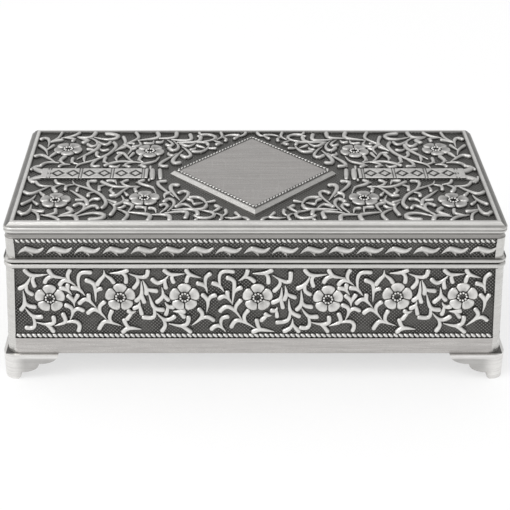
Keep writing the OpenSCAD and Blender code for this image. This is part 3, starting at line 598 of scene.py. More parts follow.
def bodyFinish():
    # the drafted box: bright posts and mouldings, brushed base band, dark stippled panels
    material, shader, where = startMaterial("bodyPewter")
    x, y, z = place3(where)
    out = casting["draftTop"] + (casting["rimZ"] - z) * (casting["draftRise"] / casting["draftSpan"])
    deepX = out + casting["halfW"] - abs(x)
    deepY = out + casting["halfD"] - abs(y)
    deep = calc("MINIMUM", deepX, deepY)
    baseTop = casting["ropeZ"] - bodyShade["slack"]
    sunk = sunkPanels(deepX, deepY, z < casting["panelZ"] + bodyShade["ropeSlack"], bodyShade["panelEdge"])
    sunk = sunk * ((z > baseTop) * (z < casting["rimZ"] + bodyShade["ropeSlack"]))
    brushed = (z < baseTop) * (deep < bodyShade["baseDeep"])
    # painted shadow lines along the top of the rim, where the lid sits, and at the rim's foot
    jointShadow = larger(ramp(z, *[casting["rimZ"] + rise for rise in bodyShade["upperJoint"]]),
                   nearTo(z, casting["rimZ"] + bodyShade["slack"], *bodyShade["lowerJoint"]))
    jointShadow = jointShadow * (deep < casting["beadIn"])
    patina = useGroup(patinaShadeGroup, Vector=where, Rubbed=1.0 - larger(sunk, jointShadow * bodyShade["jointShadowDark"]),
                      Dark=pewter["ground"], Bright=blendColor(brushed, pewter["bright"], pewter["brushed"]),
                      Mottle=bodyShade["mottle"], Grain=bodyShade["grain"])
    dots = useGroup(stippleGroup, Vector=where, Across=x + y, Up=z)
    lines = useGroup(brushGroup, Vector=stretched(where, pewter["longBrush"]))["Lines"]
    streaks = (1.0 - sunk) * (lines * (bodyShade["streak"] + brushed * bodyShade["baseStreak"]))
    color = blendColor(streaks, stippled(sunk, patina["Color"], dots, bodyShade["dots"]), pewter["streak"])
    finishMetal(shader, color, patina["Roughness"] + (lines - 0.5) * bodyShade["lineRough"],
                dots["Height"] * sunk + lines * bodyShade["lineTall"], pewter["castBump"])
    return material


# the lid's painted shading: heights of its painted shade lines, how dark each goes, the width of the painted
# highlight along the border's top, and distances in from the edge
lidShade = {"panelEdge": 0.5, "slack": 0.02, "ropeSlack": 0.05, "mottle": 0.12, "grain": 0.20,
            "streak": 0.26, "lineTall": 0.08, "coveFade": (0.02, 0.22), "coveRise": 0.95, "coveEnd": 0.15,
            "slopeIn": 2.05, "slopeLow": 0.98, "slopeDark": 0.83,
            "topSlack": 0.3, "topLow": 0.4, "groundFade": (0.12, 0.55),
            "waistZ": 50.72, "waist": (0.05, 0.30), "waistDark": 0.45,
            "rimJoint": (0.10, 0.26), "leafJoint": (0.42, 0.24), "jointShadowDark": 0.90,
            "grooveLow": 0.86, "groove": (0.10, 0.30), "grooveDark": 0.62,
            "edgeLow": 1.0, "edgeFade": (0.95, 0.10), "edgeDark": 0.30,
            "crestLow": 0.25, "crestIn": 2.45, "crestHighlight": (0.20, 0.60), "innerFrom": (2.75, 3.15), "innerDark": 0.40}


def lidFinish():
    # the lid: stippled top ground and band, bright mouldings with a painted highlight along the border's top, painted
    # shade in the hollow under the ridge and in lines along the mouldings
    material, shader, where = startMaterial("lidPewter")
    x, y, z = place3(where)
    absX, absY = abs(x), abs(y)
    deepX = casting["halfW"] - casting["bandSetback"] - absX
    deepY = casting["halfD"] - casting["bandSetback"] - absY
    topZ, slack = casting["lidTopZ"], lidShade["slack"]

    sunkBand = sunkPanels(deepX, deepY, z > casting["lidRopeZ"] - lidShade["ropeSlack"], lidShade["panelEdge"])
    sunkBand = sunkBand * ((z > casting["leafZ"] - slack) * (z < casting["coveZ"] - slack))
    inTop = ((absX < casting["groundHalfW"] + lidShade["topSlack"])
             * (absY < casting["groundHalfD"] + lidShade["topSlack"]))
    sunkTop = (inTop * (z > casting["lidGroundZ"] - lidShade["topLow"])
               * fade(z, *[casting["lidGroundZ"] + rise for rise in lidShade["groundFade"]]))
    sunk = larger(sunkBand, sunkTop)

    # painted shade in the hollow moulding under the ridge: a grey tone, darkest under the overhang
    inCove = (z > casting["coveZ"] - slack) * fade(z, *[casting["ridgeZ"] + rise for rise in lidShade["coveFade"]])
    coveDark = inCove * ramp(z, casting["coveZ"] + lidShade["coveRise"], casting["ridgeZ"] - lidShade["coveEnd"])
    # painted shade on the sloped ends of the top border, which face sideways
    endSlope = (absX > casting["halfW"] - lidShade["slopeIn"]) * (
        (z > topZ - lidShade["slopeLow"]) * (absX - absY > casting["halfW"] - casting["halfD"]))
    # painted shade in the groove between the ridge's two beads
    waist = nearTo(z, lidShade["waistZ"], *lidShade["waist"])
    # painted shadow along the lid rim's lower edge and where the rim meets the leaf band
    jointShadow = larger(fade(z, *[casting["lidRimZ"] + rise for rise in lidShade["rimJoint"]]),
                   ramp(z, *[casting["leafZ"] - drop for drop in lidShade["leafJoint"]])
                   * (z < casting["leafZ"] + slack))
    jointShadow = jointShadow * (calc("MINIMUM", deepX, deepY) < casting["beadIn"] - casting["bandSetback"])
    # painted shade at the foot of the border's outer slope and on the slope's lower part
    groove = larger(nearTo(z, topZ - lidShade["grooveLow"], *lidShade["groove"]) * lidShade["grooveDark"],
                    (z > topZ - lidShade["edgeLow"])
                    * (fade(z, *[topZ - drop for drop in lidShade["edgeFade"]]) * lidShade["edgeDark"]))
    edgeIn = calc("MINIMUM", casting["halfW"] - absX, casting["halfD"] - absY)
    onCrest = z > topZ - lidShade["crestLow"]
    # a painted highlight: a bright line along the top of the lid's border
    crestHighlight = onCrest * nearTo(edgeIn, lidShade["crestIn"], *lidShade["crestHighlight"])
    # painted shadow along the border's inner edge, where it drops to the sunk top
    inner = onCrest * (ramp(edgeIn, *lidShade["innerFrom"]) * lidShade["innerDark"])
    # patina on the sunk ground, joined with the painted shade and shadow lines
    dark = larger(sunk, coveDark, waist * lidShade["waistDark"], endSlope * lidShade["slopeDark"],
                  jointShadow * lidShade["jointShadowDark"], groove * (1.0 - inTop), inner)

    moulding = blendColor(crestHighlight, pewter["bright"], pewter["crestHighlight"])
    patina = useGroup(patinaShadeGroup, Vector=where, Rubbed=1.0 - dark, Dark=pewter["ground"],
                      Bright=blendColor(inCove, moulding, pewter["cove"]),
                      Mottle=lidShade["mottle"], Grain=lidShade["grain"])
    onTop = z > casting["coveZ"]
    dots = useGroup(stippleGroup, Vector=where, Across=x + y * (1.0 - onTop), Up=y * onTop + z * (1.0 - onTop))
    lines = useGroup(brushGroup, Vector=where)["Lines"]
    color = stippled(sunk, patina["Color"], dots, 1.0)
    color = blendColor((1.0 - sunk) * (lines * lidShade["streak"]), color, pewter["streak"])
    finishMetal(shader, color, patina["Roughness"], dots["Height"] * sunk + lines * lidShade["lineTall"],
                pewter["castBump"])
    return material


# the fine beaded line just inside the lozenge's bevel, and the dark line it lies in
plateEdge = {"halfX": 24.1, "halfY": 25.85, "z": 53.60, "pitch": 1.35, "radius": 0.46, "tall": 0.32,
             "along": 0.60, "lean": 0.30, "lineIn": 0.030, "lineOut": 0.052, "lineDark": 0.86,
             "faceZ": (53.35, 53.56), "mottle": 0.10, "grain": 0.16, "streak": 0.42, "scratch": 0.10,
             "lineRough": 0.3}


def plateFinish():
    # the plain lozenge: brushed face darkened as painted shade of its up-facing top, bevel in the brighter pewter
    material, shader, where = startMaterial("brushedPlate")
    x, y, z = place3(where)
    reach = abs(x) / plateEdge["halfX"] + abs(y) / plateEdge["halfY"]
    line = nearTo(reach, 1.0, plateEdge["lineIn"], plateEdge["lineOut"])
    brush = useGroup(brushGroup, Vector=where)
    # the face above its bevel takes the darker plate colour: painted shade of the up-facing top
    patina = useGroup(patinaShadeGroup, Vector=where, Rubbed=1.0 - line * plateEdge["lineDark"], Dark=pewter["dark"],
                      Bright=blendColor(ramp(z, *plateEdge["faceZ"]), pewter["bright"], pewter["plate"]),
                      Mottle=plateEdge["mottle"], Grain=plateEdge["grain"])
    color = blendColor(brush["Lines"] * plateEdge["streak"], patina["Color"], pewter["plateStreak"])
    color = blendColor(brush["Scratches"] * plateEdge["scratch"], color, pewter["scratch"])
    finishMetal(shader, color, patina["Roughness"] + (brush["Lines"] - 0.5) * plateEdge["lineRough"],
                brush["Lines"], pewter["brushBump"])
    return material


def plainMetalFinish(name, dark, bright, metal, mottle):
    # hinges, pins and screws
    material, shader, where = startMaterial(name)
    lines = useGroup(brushGroup, Vector=where)["Lines"]
    patina = useGroup(patinaShadeGroup, Vector=where, Rubbed=0.92, Dark=dark, Bright=bright, Mottle=mottle)
    finishMetal(shader, blendColor(lines * 0.22, patina["Color"], dark),
                patina["Roughness"] + (lines - 0.5) * 0.2, patina["Height"] + lines, pewter["brushBump"], metal)
    return material


# the feet's shading, in millimetres: painted shadow line against the box, painted highlight on the top edge, width of
# the bright corner with its painted highlight
footShade = {"out": 0.6, "topSlack": 0.1, "jointOut": (0.16, 0.32), "jointShadowDark": 0.94, "edgeZ": (7.0, 7.9),
             "corner": (0.6, 5.0), "wing": 0.44, "mottle": 0.16, "grain": 0.14, "streak": 0.30}


def footFinish():
    # painted highlight on the corner and top edge, painted shade that turns the wings a little greyer
    material, shader, where = startMaterial("footPewter")
    x, y, z = place3(where)
    absX, absY = abs(x), abs(y)
    # painted shade that greys the wings away from the bright corner, kept off the top edge, which stays bright as a
    # painted highlight
    wing = ramp(larger(casting["halfW"] + footShade["out"] - absX, casting["halfD"] + footShade["out"] - absY),
                *footShade["corner"])
    below = fade(z, *footShade["edgeZ"])
    wall = wallOut(casting["bodyZ"])
    fromWall = larger(absX - (casting["halfW"] + wall), absY - (casting["halfD"] + wall))
    # painted shadow line along the foot's top against the box
    jointShadow = (z > casting["bodyZ"] - footShade["topSlack"]) * fade(fromWall, *footShade["jointOut"])
    shade = larger(jointShadow * footShade["jointShadowDark"], wing * below * footShade["wing"])
    lines = useGroup(brushGroup, Vector=stretched(where, pewter["longBrush"]))["Lines"]
    patina = useGroup(patinaShadeGroup, Vector=where, Rubbed=1.0 - shade, Dark=pewter["ground"], Bright=pewter["foot"],
                      Mottle=footShade["mottle"], Grain=footShade["grain"])
    finishMetal(shader, blendColor(lines * footShade["streak"], patina["Color"], pewter["streak"]),
                patina["Roughness"], patina["Height"] + lines, pewter["footBump"])
    return material


def clothFinish(name, deep, lit, tuft, patch, sheen, bump):
    # velvet lining and felt base
    material, shader, where = startMaterial(name)
    nap = useGroup(napGroup, Vector=where, Tuft=tuft, Patch=patch)
    feed(shader.inputs["Base Color"], blendColor(nap["Shade"], deep, lit))
    feed(shader.inputs["Roughness"], 0.86 + nap["Height"] * 0.12)
    shader.inputs["Sheen Weight"].default_value = sheen
    shader.inputs["Sheen Roughness"].default_value = 0.35
    shader.inputs["Sheen Tint"].default_value = lit
    shader.inputs["Specular IOR Level"].default_value = 0.2
    addBump(shader, nap["Height"], bump, 0.8)
    return material


ornamentPewter = ornamentFinish("ornamentPewter", pewter["raised"], 0.06, 0.92)
# a darker copy of the same pewter with a wider ramp: painted shade and more painted form shading on the top scrolls,
# leaves and straps
topOrnamentShaded = ornamentFinish("topOrnamentShaded", pewter["topRaisedShaded"], 0.06, 1.15)
bodyPewter = bodyFinish()
lidPewter = lidFinish()
brushedPlate = plateFinish()
footPewter = footFinish()
hingePewter = plainMetalFinish("hingePewter", (0.10, 0.098, 0.092, 1), (0.70, 0.69, 0.67, 1), 0.92, 0.26)
agedBrass = plainMetalFinish("agedBrass", (0.16, 0.12, 0.06, 1), (0.72, 0.62, 0.40, 1), 0.95, 0.30)
screwSteel = plainMetalFinish("screwSteel", (0.12, 0.12, 0.125, 1), (0.56, 0.57, 0.59, 1), 0.95, 0.20)
blueVelvet = clothFinish("blueVelvet", (0.020, 0.024, 0.058, 1), (0.060, 0.072, 0.150, 1),
                         3600.0, 48.0, 0.55, 0.00018)
blackFelt = clothFinish("blackFelt", (0.028, 0.028, 0.031, 1), (0.070, 0.070, 0.077, 1),
                        1900.0, 90.0, 0.15, 0.00022)
print("materials built")

slotFinish = {"pewter": hingePewter, "plate": brushedPlate, "brass": agedBrass, "steel": screwSteel,
              "velvet": blueVelvet, "felt": blackFelt}
nodeFinish = {"body_casting": bodyPewter, "lid_casting": lidPewter, "engraving_plate": brushedPlate,
              "foot_front_left": footPewter, "foot_front_right": footPewter,
              "foot_rear_left": footPewter, "foot_rear_right": footPewter}
for part in frame["record"]["subparts"]:
    node = nodes.get(part.get("node") or part.get("name"))
    if node is None:
        continue
    finish = nodeFinish.get(node.name, slotFinish.get(part.get("material") or part.get("slot"), hingePewter))
    for index in range(len(node.material_slots)):
        node.material_slots[index].material = finish
print("castings finished")

# the front panel, in millimetres; each sprig: tail, fork, first lobe, second lobe
panel = {
    "repeat": 84.3, "room": 0.25, "endGap": 0.1, "flowerOver": 0.6, "spacing": 0.8,
    "flowers": [(-62.2, 27.8), (-40.8, 28.2), (-21.3, 28.2), (0.9, 28.1), (22.3, 27.5), (43.3, 28.4), (63.1, 28.4)],
    "tailWidth": 0.36, "headWidth": 1.72, "tailLift": 0.60, "headLift": 1.10, "ease": 24, "swell": 0.74,
    "sideCentre": -21.3, "sideReach": 33.2,
}
sprigs = [
    ((-62.5, 35.9), (-66.8, 35.4), [(-68.6, 36.2), (-69.2, 37.3)], [(-67.3, 34), (-66.6, 32.1)]),
    ((-57, 34.6), (-61, 35.3), [(-62, 37.3)], [(-62.8, 34.8), (-63.4, 33.4)]),
    ((-67.6, 35.2), (-69.1, 32.2), [(-71.2, 31.2)], [(-69.3, 30.2), (-67.6, 29.2)]),
    ((-70.2, 30.4), (-69.9, 26.2), [(-70.3, 24.8), (-71.3, 24)], [(-69.2, 25), (-67, 24.8)]),
    ((-69.9, 24.3), (-67.7, 21.3), [(-65.2, 21.4)], [(-67.2, 18.2), (-68.2, 17.1), (-70, 17.6)]),
    ((-66.8, 19.4), (-63.4, 18.6), [(-61.2, 19.2), (-61.5, 21.2)], [(-62.6, 17.6), (-61.8, 16.4)]),
    ((-61.3, 18.2), (-57.6, 19.5), [(-57.9, 20.6), (-58.5, 22.3)], [(-54.2, 19.8), (-53.4, 18), (-54, 16.7)]),
    ((-56.5, 20.2), (-55.4, 22.8), [(-55.7, 24.8), (-57.4, 25.4)], [(-54.2, 24.6), (-52.4, 23.6)]),
    ((-54.9, 24.9), (-54.9, 26.8), [(-56.6, 28.6)], [(-53.7, 28.8)]),
    ((-55.5, 28.9), (-56.9, 31), [(-58.9, 31.1)], [(-56.6, 32.3)]),
    ((-54.3, 32.2), (-56.2, 33.8), [(-57.8, 34.2), (-58.9, 32.6)], [(-56.6, 35.8), (-55.7, 37.3)]),
    ((-51.5, 28.7), (-53.1, 31), [(-54.2, 31.3), (-55.2, 31.3)], [(-53.4, 34.5), (-52.5, 36.6), (-49.5, 36.6)]),
    ((-48.3, 26.6), (-48.3, 30.6), [(-48.6, 33), (-50.8, 33.9)], [(-46.6, 31.1)]),
    ((-48.3, 24.6), (-50.5, 27.2), [(-51.6, 27.8), (-53.2, 26.2)], [(-50.4, 28.9)]),
    ((-45.3, 20.5), (-47.2, 23), [(-49, 24.3), (-50.8, 22.8)], [(-47.4, 25.2), (-45.8, 26.4)]),
    ((-41, 18.3), (-43.8, 19.3), [(-46, 20), (-47.6, 17.4)], [(-44.6, 21), (-43.6, 23.3)]),
    ((-34.8, 17), (-38.6, 17.5), [(-39.8, 17), (-40.3, 16.2)], [(-39.4, 18.4), (-39.9, 20.3)]),
    ((-45.4, 37.3), (-45.2, 35.2), [(-46.4, 34.6), (-47.6, 32.6)], [(-43.6, 34.9), (-42.7, 33.3)]),
    ((-43.6, 36.3), (-39.9, 36.5), [(-38.5, 37.3)], [(-38.7, 35.6), (-38.9, 33.4)]),
    ((-37.8, 36.1), (-35.3, 35.1), [(-32.6, 34.9), (-32.2, 37.1)], [(-35.2, 33), (-36.5, 31.5)]),
    ((-34.3, 33.5), (-34.3, 28.6), [(-36, 27.1)], [(-33.6, 26.6)]),
    ((-33.8, 33.8), (-32.6, 30.6), [(-32.8, 29.5)], [(-29.8, 30.3)]),
    ((-32.2, 29.4), (-30.6, 24.3), [(-28, 23.8)], [(-30.6, 21), (-33.9, 21.2)]),
    ((-34.9, 26.7), (-35, 24.8), [(-36.6, 24.4)], [(-34.5, 22.5)]),
    ((-36.2, 23.3), (-37.8, 22.3), [(-38.4, 23.4)], [(-38.9, 20.7)]),
    ((-21.2, 36.1), (-25.4, 35.7), [(-26.6, 36.4), (-27.2, 37.3)], [(-25.2, 34.8), (-24.6, 33.4)]),
    ((-26, 35.4), (-27.4, 33.8), [(-29.4, 32.6), (-30.9, 34.2)], [(-26.9, 31.5)]),
    ((-28.1, 31.4), (-27.6, 28.4), [(-28.4, 27.6), (-29.6, 26.6)], [(-26.3, 27.3)]),
    ((-27.2, 26.3), (-26.2, 24.4), [(-24.7, 24.9)], [(-27, 22.4)]),
    ((-24.8, 23.3), (-22.8, 23.1), [(-21.5, 24)], [(-21.6, 21.4)]),
    ((-29.8, 22.6), (-27.9, 20.4), [(-26.3, 20.1), (-24.5, 21.4)], [(-27, 18.4), (-28.3, 16.6)]),
    ((-26.2, 19), (-22, 18), [(-20.2, 19.2), (-20.2, 21.2)], [(-20.6, 17), (-19.7, 16.2)]),
    ((-19.2, 18.4), (-16.4, 20.7), [(-15.6, 22.4), (-16.9, 24)], [(-14.4, 21.6), (-12.6, 20.3)]),
    ((-14.6, 23), (-14.1, 27), [(-15.7, 28.9)], [(-13.4, 28.6), (-12, 28.8)]),
    ((-16.3, 34.8), (-20, 35.9), [(-20.6, 37.3)], [(-20.6, 35), (-20.6, 33.7)]),
    ((-14.4, 29.6), (-14.8, 32.2), [(-16, 32.4), (-17.2, 32.9)], [(-15, 35), (-13.5, 36.1)]),
]
middleSprigs = [
    ((-9.3, 30), (-10.6, 32.2), [(-12.6, 32.9)], [(-10.6, 36.4), (-8.6, 37.2), (-6.6, 36.9)]),
    ((-6.8, 25.6), (-6.3, 30.4), [(-6.2, 34), (-8.2, 34.8)], [(-4.2, 31.4)]),
    ((-6.9, 26), (-8.2, 28.2), [(-9.5, 28.8), (-10.7, 27.8)], [(-8.3, 29.9)]),
    ((-3.8, 20.3), (-6, 23.6), [(-8.6, 25.2), (-10.4, 23.5)], [(-5.6, 25.4), (-4.3, 27)]),
    ((0.2, 17.4), (-2.6, 19.3), [(-5.6, 20.4), (-7, 18)], [(-3.4, 21.6), (-2, 23.5)]),
    ((-8.8, 16.2), (-10.2, 18), [(-11.8, 18.6), (-13.1, 17.2)], [(-10.2, 21), (-8.2, 21.4)]),
    ((6, 16.2), (1.6, 17), [(0.8, 16.8), (-0.3, 16.2)], [(1, 18.4), (0.7, 20.2)]),
    ((-4.8, 33.8), (-2.6, 35.3), [(-2.2, 37.2)], [(-1.4, 34.8), (-0.3, 33.7)]),
    ((-0.6, 36.2), (3.4, 36.3), [(5, 37.3)], [(4.2, 35), (4.1, 33.2)]),
    ((5.4, 35.6), (7.8, 34), [(10.6, 33), (10.8, 36.4)], [(7.6, 32), (6, 30.4)]),
    ((8.2, 31.4), (8, 27.4), [(6.8, 26.8), (5.5, 26.4)], [(8.6, 24.7)]),
    ((9.2, 32), (9.8, 29), [(9.1, 27.5)], [(12.2, 28.1)]),
    ((10.4, 27.5), (10.9, 23.2), [(13.6, 21.6)], [(10.4, 20), (7, 19.4)]),
    ((7, 24.6), (6.8, 23), [(5.3, 23.6)], [(6.9, 21.6)]),
    ((5.2, 21.8), (3.6, 21.6), [(3.4, 22.3)], [(2.2, 20.2)]),
    ((11.7, 20.6), (11.8, 18.4), [(10.6, 16.8), (9.3, 16.4)], [(13.6, 16.4)]),
]


def eachPoint(sprig, change):
    # the same sprig with every point's place along the wall changed
    tail, fork, lobeA, lobeB = sprig
    moved = [[(change(u), v) for u, v in points] for points in ([tail, fork], lobeA, lobeB)]
    return moved[0][0], moved[0][1], moved[1], moved[2]


def shifted(sprig, move):
    return eachPoint(sprig, lambda u: u + move)


def heldIn(sprig, reach):
    # drawn in where it would run past the end of the panel
    return eachPoint(sprig, lambda u: max(-reach, min(reach, u)))


def keptClear(points, centres, distance):
    # the same points, pushed out of the flowers they would run into
    kept = []
    for point in points:
        spot = Vector(point)
        for centre in centres:
            away = spot - Vector(centre)
            if 0.01 < away.length < distance:
                spot = Vector(centre) + away.normalized() * distance
        kept.append(spot)
    return kept


def laySprig(bm, place, sprig, centres):
    # a Y-shaped sprig: a stem into its first lobe, and a thinner second lobe from the fork
    tail, fork, lobeA, lobeB = sprig
    room = flower["radius"] + panel["room"]
    start = (tail[0] * 0.5 + fork[0] * 0.5, tail[1] * 0.5 + fork[1] * 0.5)
    for points, shares in (([tail, fork] + lobeA, (1.0, 1.0, 1.0, 1.0)),
                           ([start, fork] + lobeB, (1.2, 0.96, 1.1, 0.98))):
        layStroke(bm, place, keptClear(points, centres, room),
                  (panel["tailWidth"] * shares[0], panel["headWidth"] * shares[1]),
                  (panel["tailLift"] * shares[2], panel["headLift"] * shares[3]),
                  panel["swell"], panel["spacing"], panel["ease"])


rivets = {"spots": [-50.0, -38.0, 38.0, 50.0], "bodyZ": 34.9, "lidZ": 44.9, "reach": 2.3, "ease": 0.8,
          "flat": 0.15, "full": 1.2}


def pressedFlat(place, height):
    # the same wall, its ornament lower under the hinge rivets' heads
    def pressed(u, v, lift):
        near = min(math.hypot(u - spot, v - height) for spot in rivets["spots"])
        share = max(0.0, min(1.0, (near - rivets["reach"] + rivets["ease"]) / rivets["ease"]))
        return place(u, v, min(lift, rivets["flat"] + (rivets["full"] - rivets["flat"]) * share))
    return pressed


allSprigs = sprigs + middleSprigs + [shifted(s, panel["repeat"]) for s in sprigs]


def buildBodyRelief(side):
    # scrolls and flowers on one wall of the body
    place = pressedFlat(onBodyWall(side), rivets["bodyZ"]) if side == "rear" else onBodyWall(side)
    bm = newRelief()
    wide = side in ("front", "rear")
    move = 0.0 if wide else -panel["sideCentre"]
    reach = casting["halfW"] - casting["post"] - panel["endGap"] if wide else panel["sideReach"]
    centres = [(u + move, v) for u, v in panel["flowers"]
               if abs(u + move) + flower["radius"] < reach + panel["flowerOver"]]
    for sprig in allSprigs:
        sprig = shifted(sprig, move)
        if max(abs(sprig[0][0]), abs(sprig[1][0]), abs(sprig[2][-1][0])) > reach:
            continue
        laySprig(bm, place, heldIn(sprig, reach - panel["headWidth"] * 0.5), centres)
    for centre in centres:
        layFlower(bm, place, centre, 90, flower["radius"])
    finishPiece(side + "Scrolls", bm, ornamentPewter, "box")


for side in wallTurns:
    buildBodyRelief(side)
print("body scrolls laid")

# out is measured from the wall's own line, and the two reaches are half the rope on long and short walls
rope = {
    "body": {"pitch": 1.60, "z": 14.75, "radius": 0.95, "tall": 0.82, "slant": 0.62, "fill": 0.60,
             "out": wallOut(casting["ropeZ"]) - 0.9, "reach": (73.2, 34.2)},
    "lid": {"pitch": 1.55, "z": 47.15, "radius": 1.15, "tall": 0.78, "slant": 0.62, "fill": 0.56,
            "out": -1.0, "reach": (71.5, 32.5)},
}


def buildRope(name, size, body):
    # slanted beads along all four walls, between the posts
    bm = newRelief()
    rise = bm.verts.layers.float["rise"]
    for side, angle in wallTurns.items():
        turn = Matrix.Rotation(angle, 3, "Z")
        half = size["reach"][0] if side in ("front", "rear") else size["reach"][1]
        out = wallHalf(side) + size["out"]
        beads = int(round(2 * half / size["pitch"]))
        step = 2 * half / beads
        for i in range(beads):
            u = -half + step * (i + 0.5)
            for vert in addCopy(bm, ballBlank(6)):
                x, y, z = vert.co
                # darker towards each bead's ends and edges: patina and painted shade in the gaps between beads
                vert[rise] = max(0.0, 1.08 - max(abs(x) ** 2.6, abs(z) ** 4))
                spot = Vector((u + x * step * size["fill"] - z * size["slant"] * size["tall"],
                               -out + y * size["radius"], size["z"] + z * size["tall"]))
                vert.co = turn @ spot * mm
    finishPiece(name, bm, ornamentPewter, body)


buildRope("bodyRope", rope["body"], "box")
buildRope("lidRope", rope["lid"], "lid")
print("rope mouldings laid")

# one waved leaf: its blunt half, its thin half and its spur, each with widths, lifts and swell
leaf = {
    "rows": {"front": 17, "rear": 17, "left": 8, "right": 8}, "pitch": 8.45, "start": 0.95, "spacing": 0.6,
    "body": [(0.0, 42.75), (1.1, 43.9), (2.5, 44.35), (3.9, 44.0), (5.1, 43.4), (6.2, 43.35), (7.1, 44.0),
             (7.6, 44.6)],
    "spur": [(3.3, 43.7), (4.0, 42.9), (4.35, 41.95)],
}
leafStrokes = [(leaf["body"][:4][::-1], (2.05, 0.32), (0.86, 0.40), 1.5),
               (leaf["body"][2:], (2.05, 0.70), (0.86, 0.55), 2.4),
               (leaf["spur"], (1.6, 0.36), (0.78, 0.42), 0.8)]


def buildLeafBand(side):
    # a row of waved leaves along the lid's upright band
    place = pressedFlat(onLidBand(side), rivets["lidZ"]) if side == "rear" else onLidBand(side)
    bm = newRelief()
    half = casting["groundHalfW"] if side in ("front", "rear") else casting["groundHalfD"]
    pitch = 2 * half / leaf["rows"][side]
    stretch = pitch / leaf["pitch"]
    for i in range(leaf["rows"][side]):
        start = -half + pitch * i + leaf["start"]
        for points, widths, lifts, swell in leafStrokes:
            layStroke(bm, place, [(start + u * stretch, v) for u, v in points], widths, lifts, swell,
                      leaf["spacing"])
    finishPiece(side + "LeafBand", bm, topOrnamentShaded, "lid")


for side in wallTurns:
    buildLeafBand(side)
print("leaf band laid")

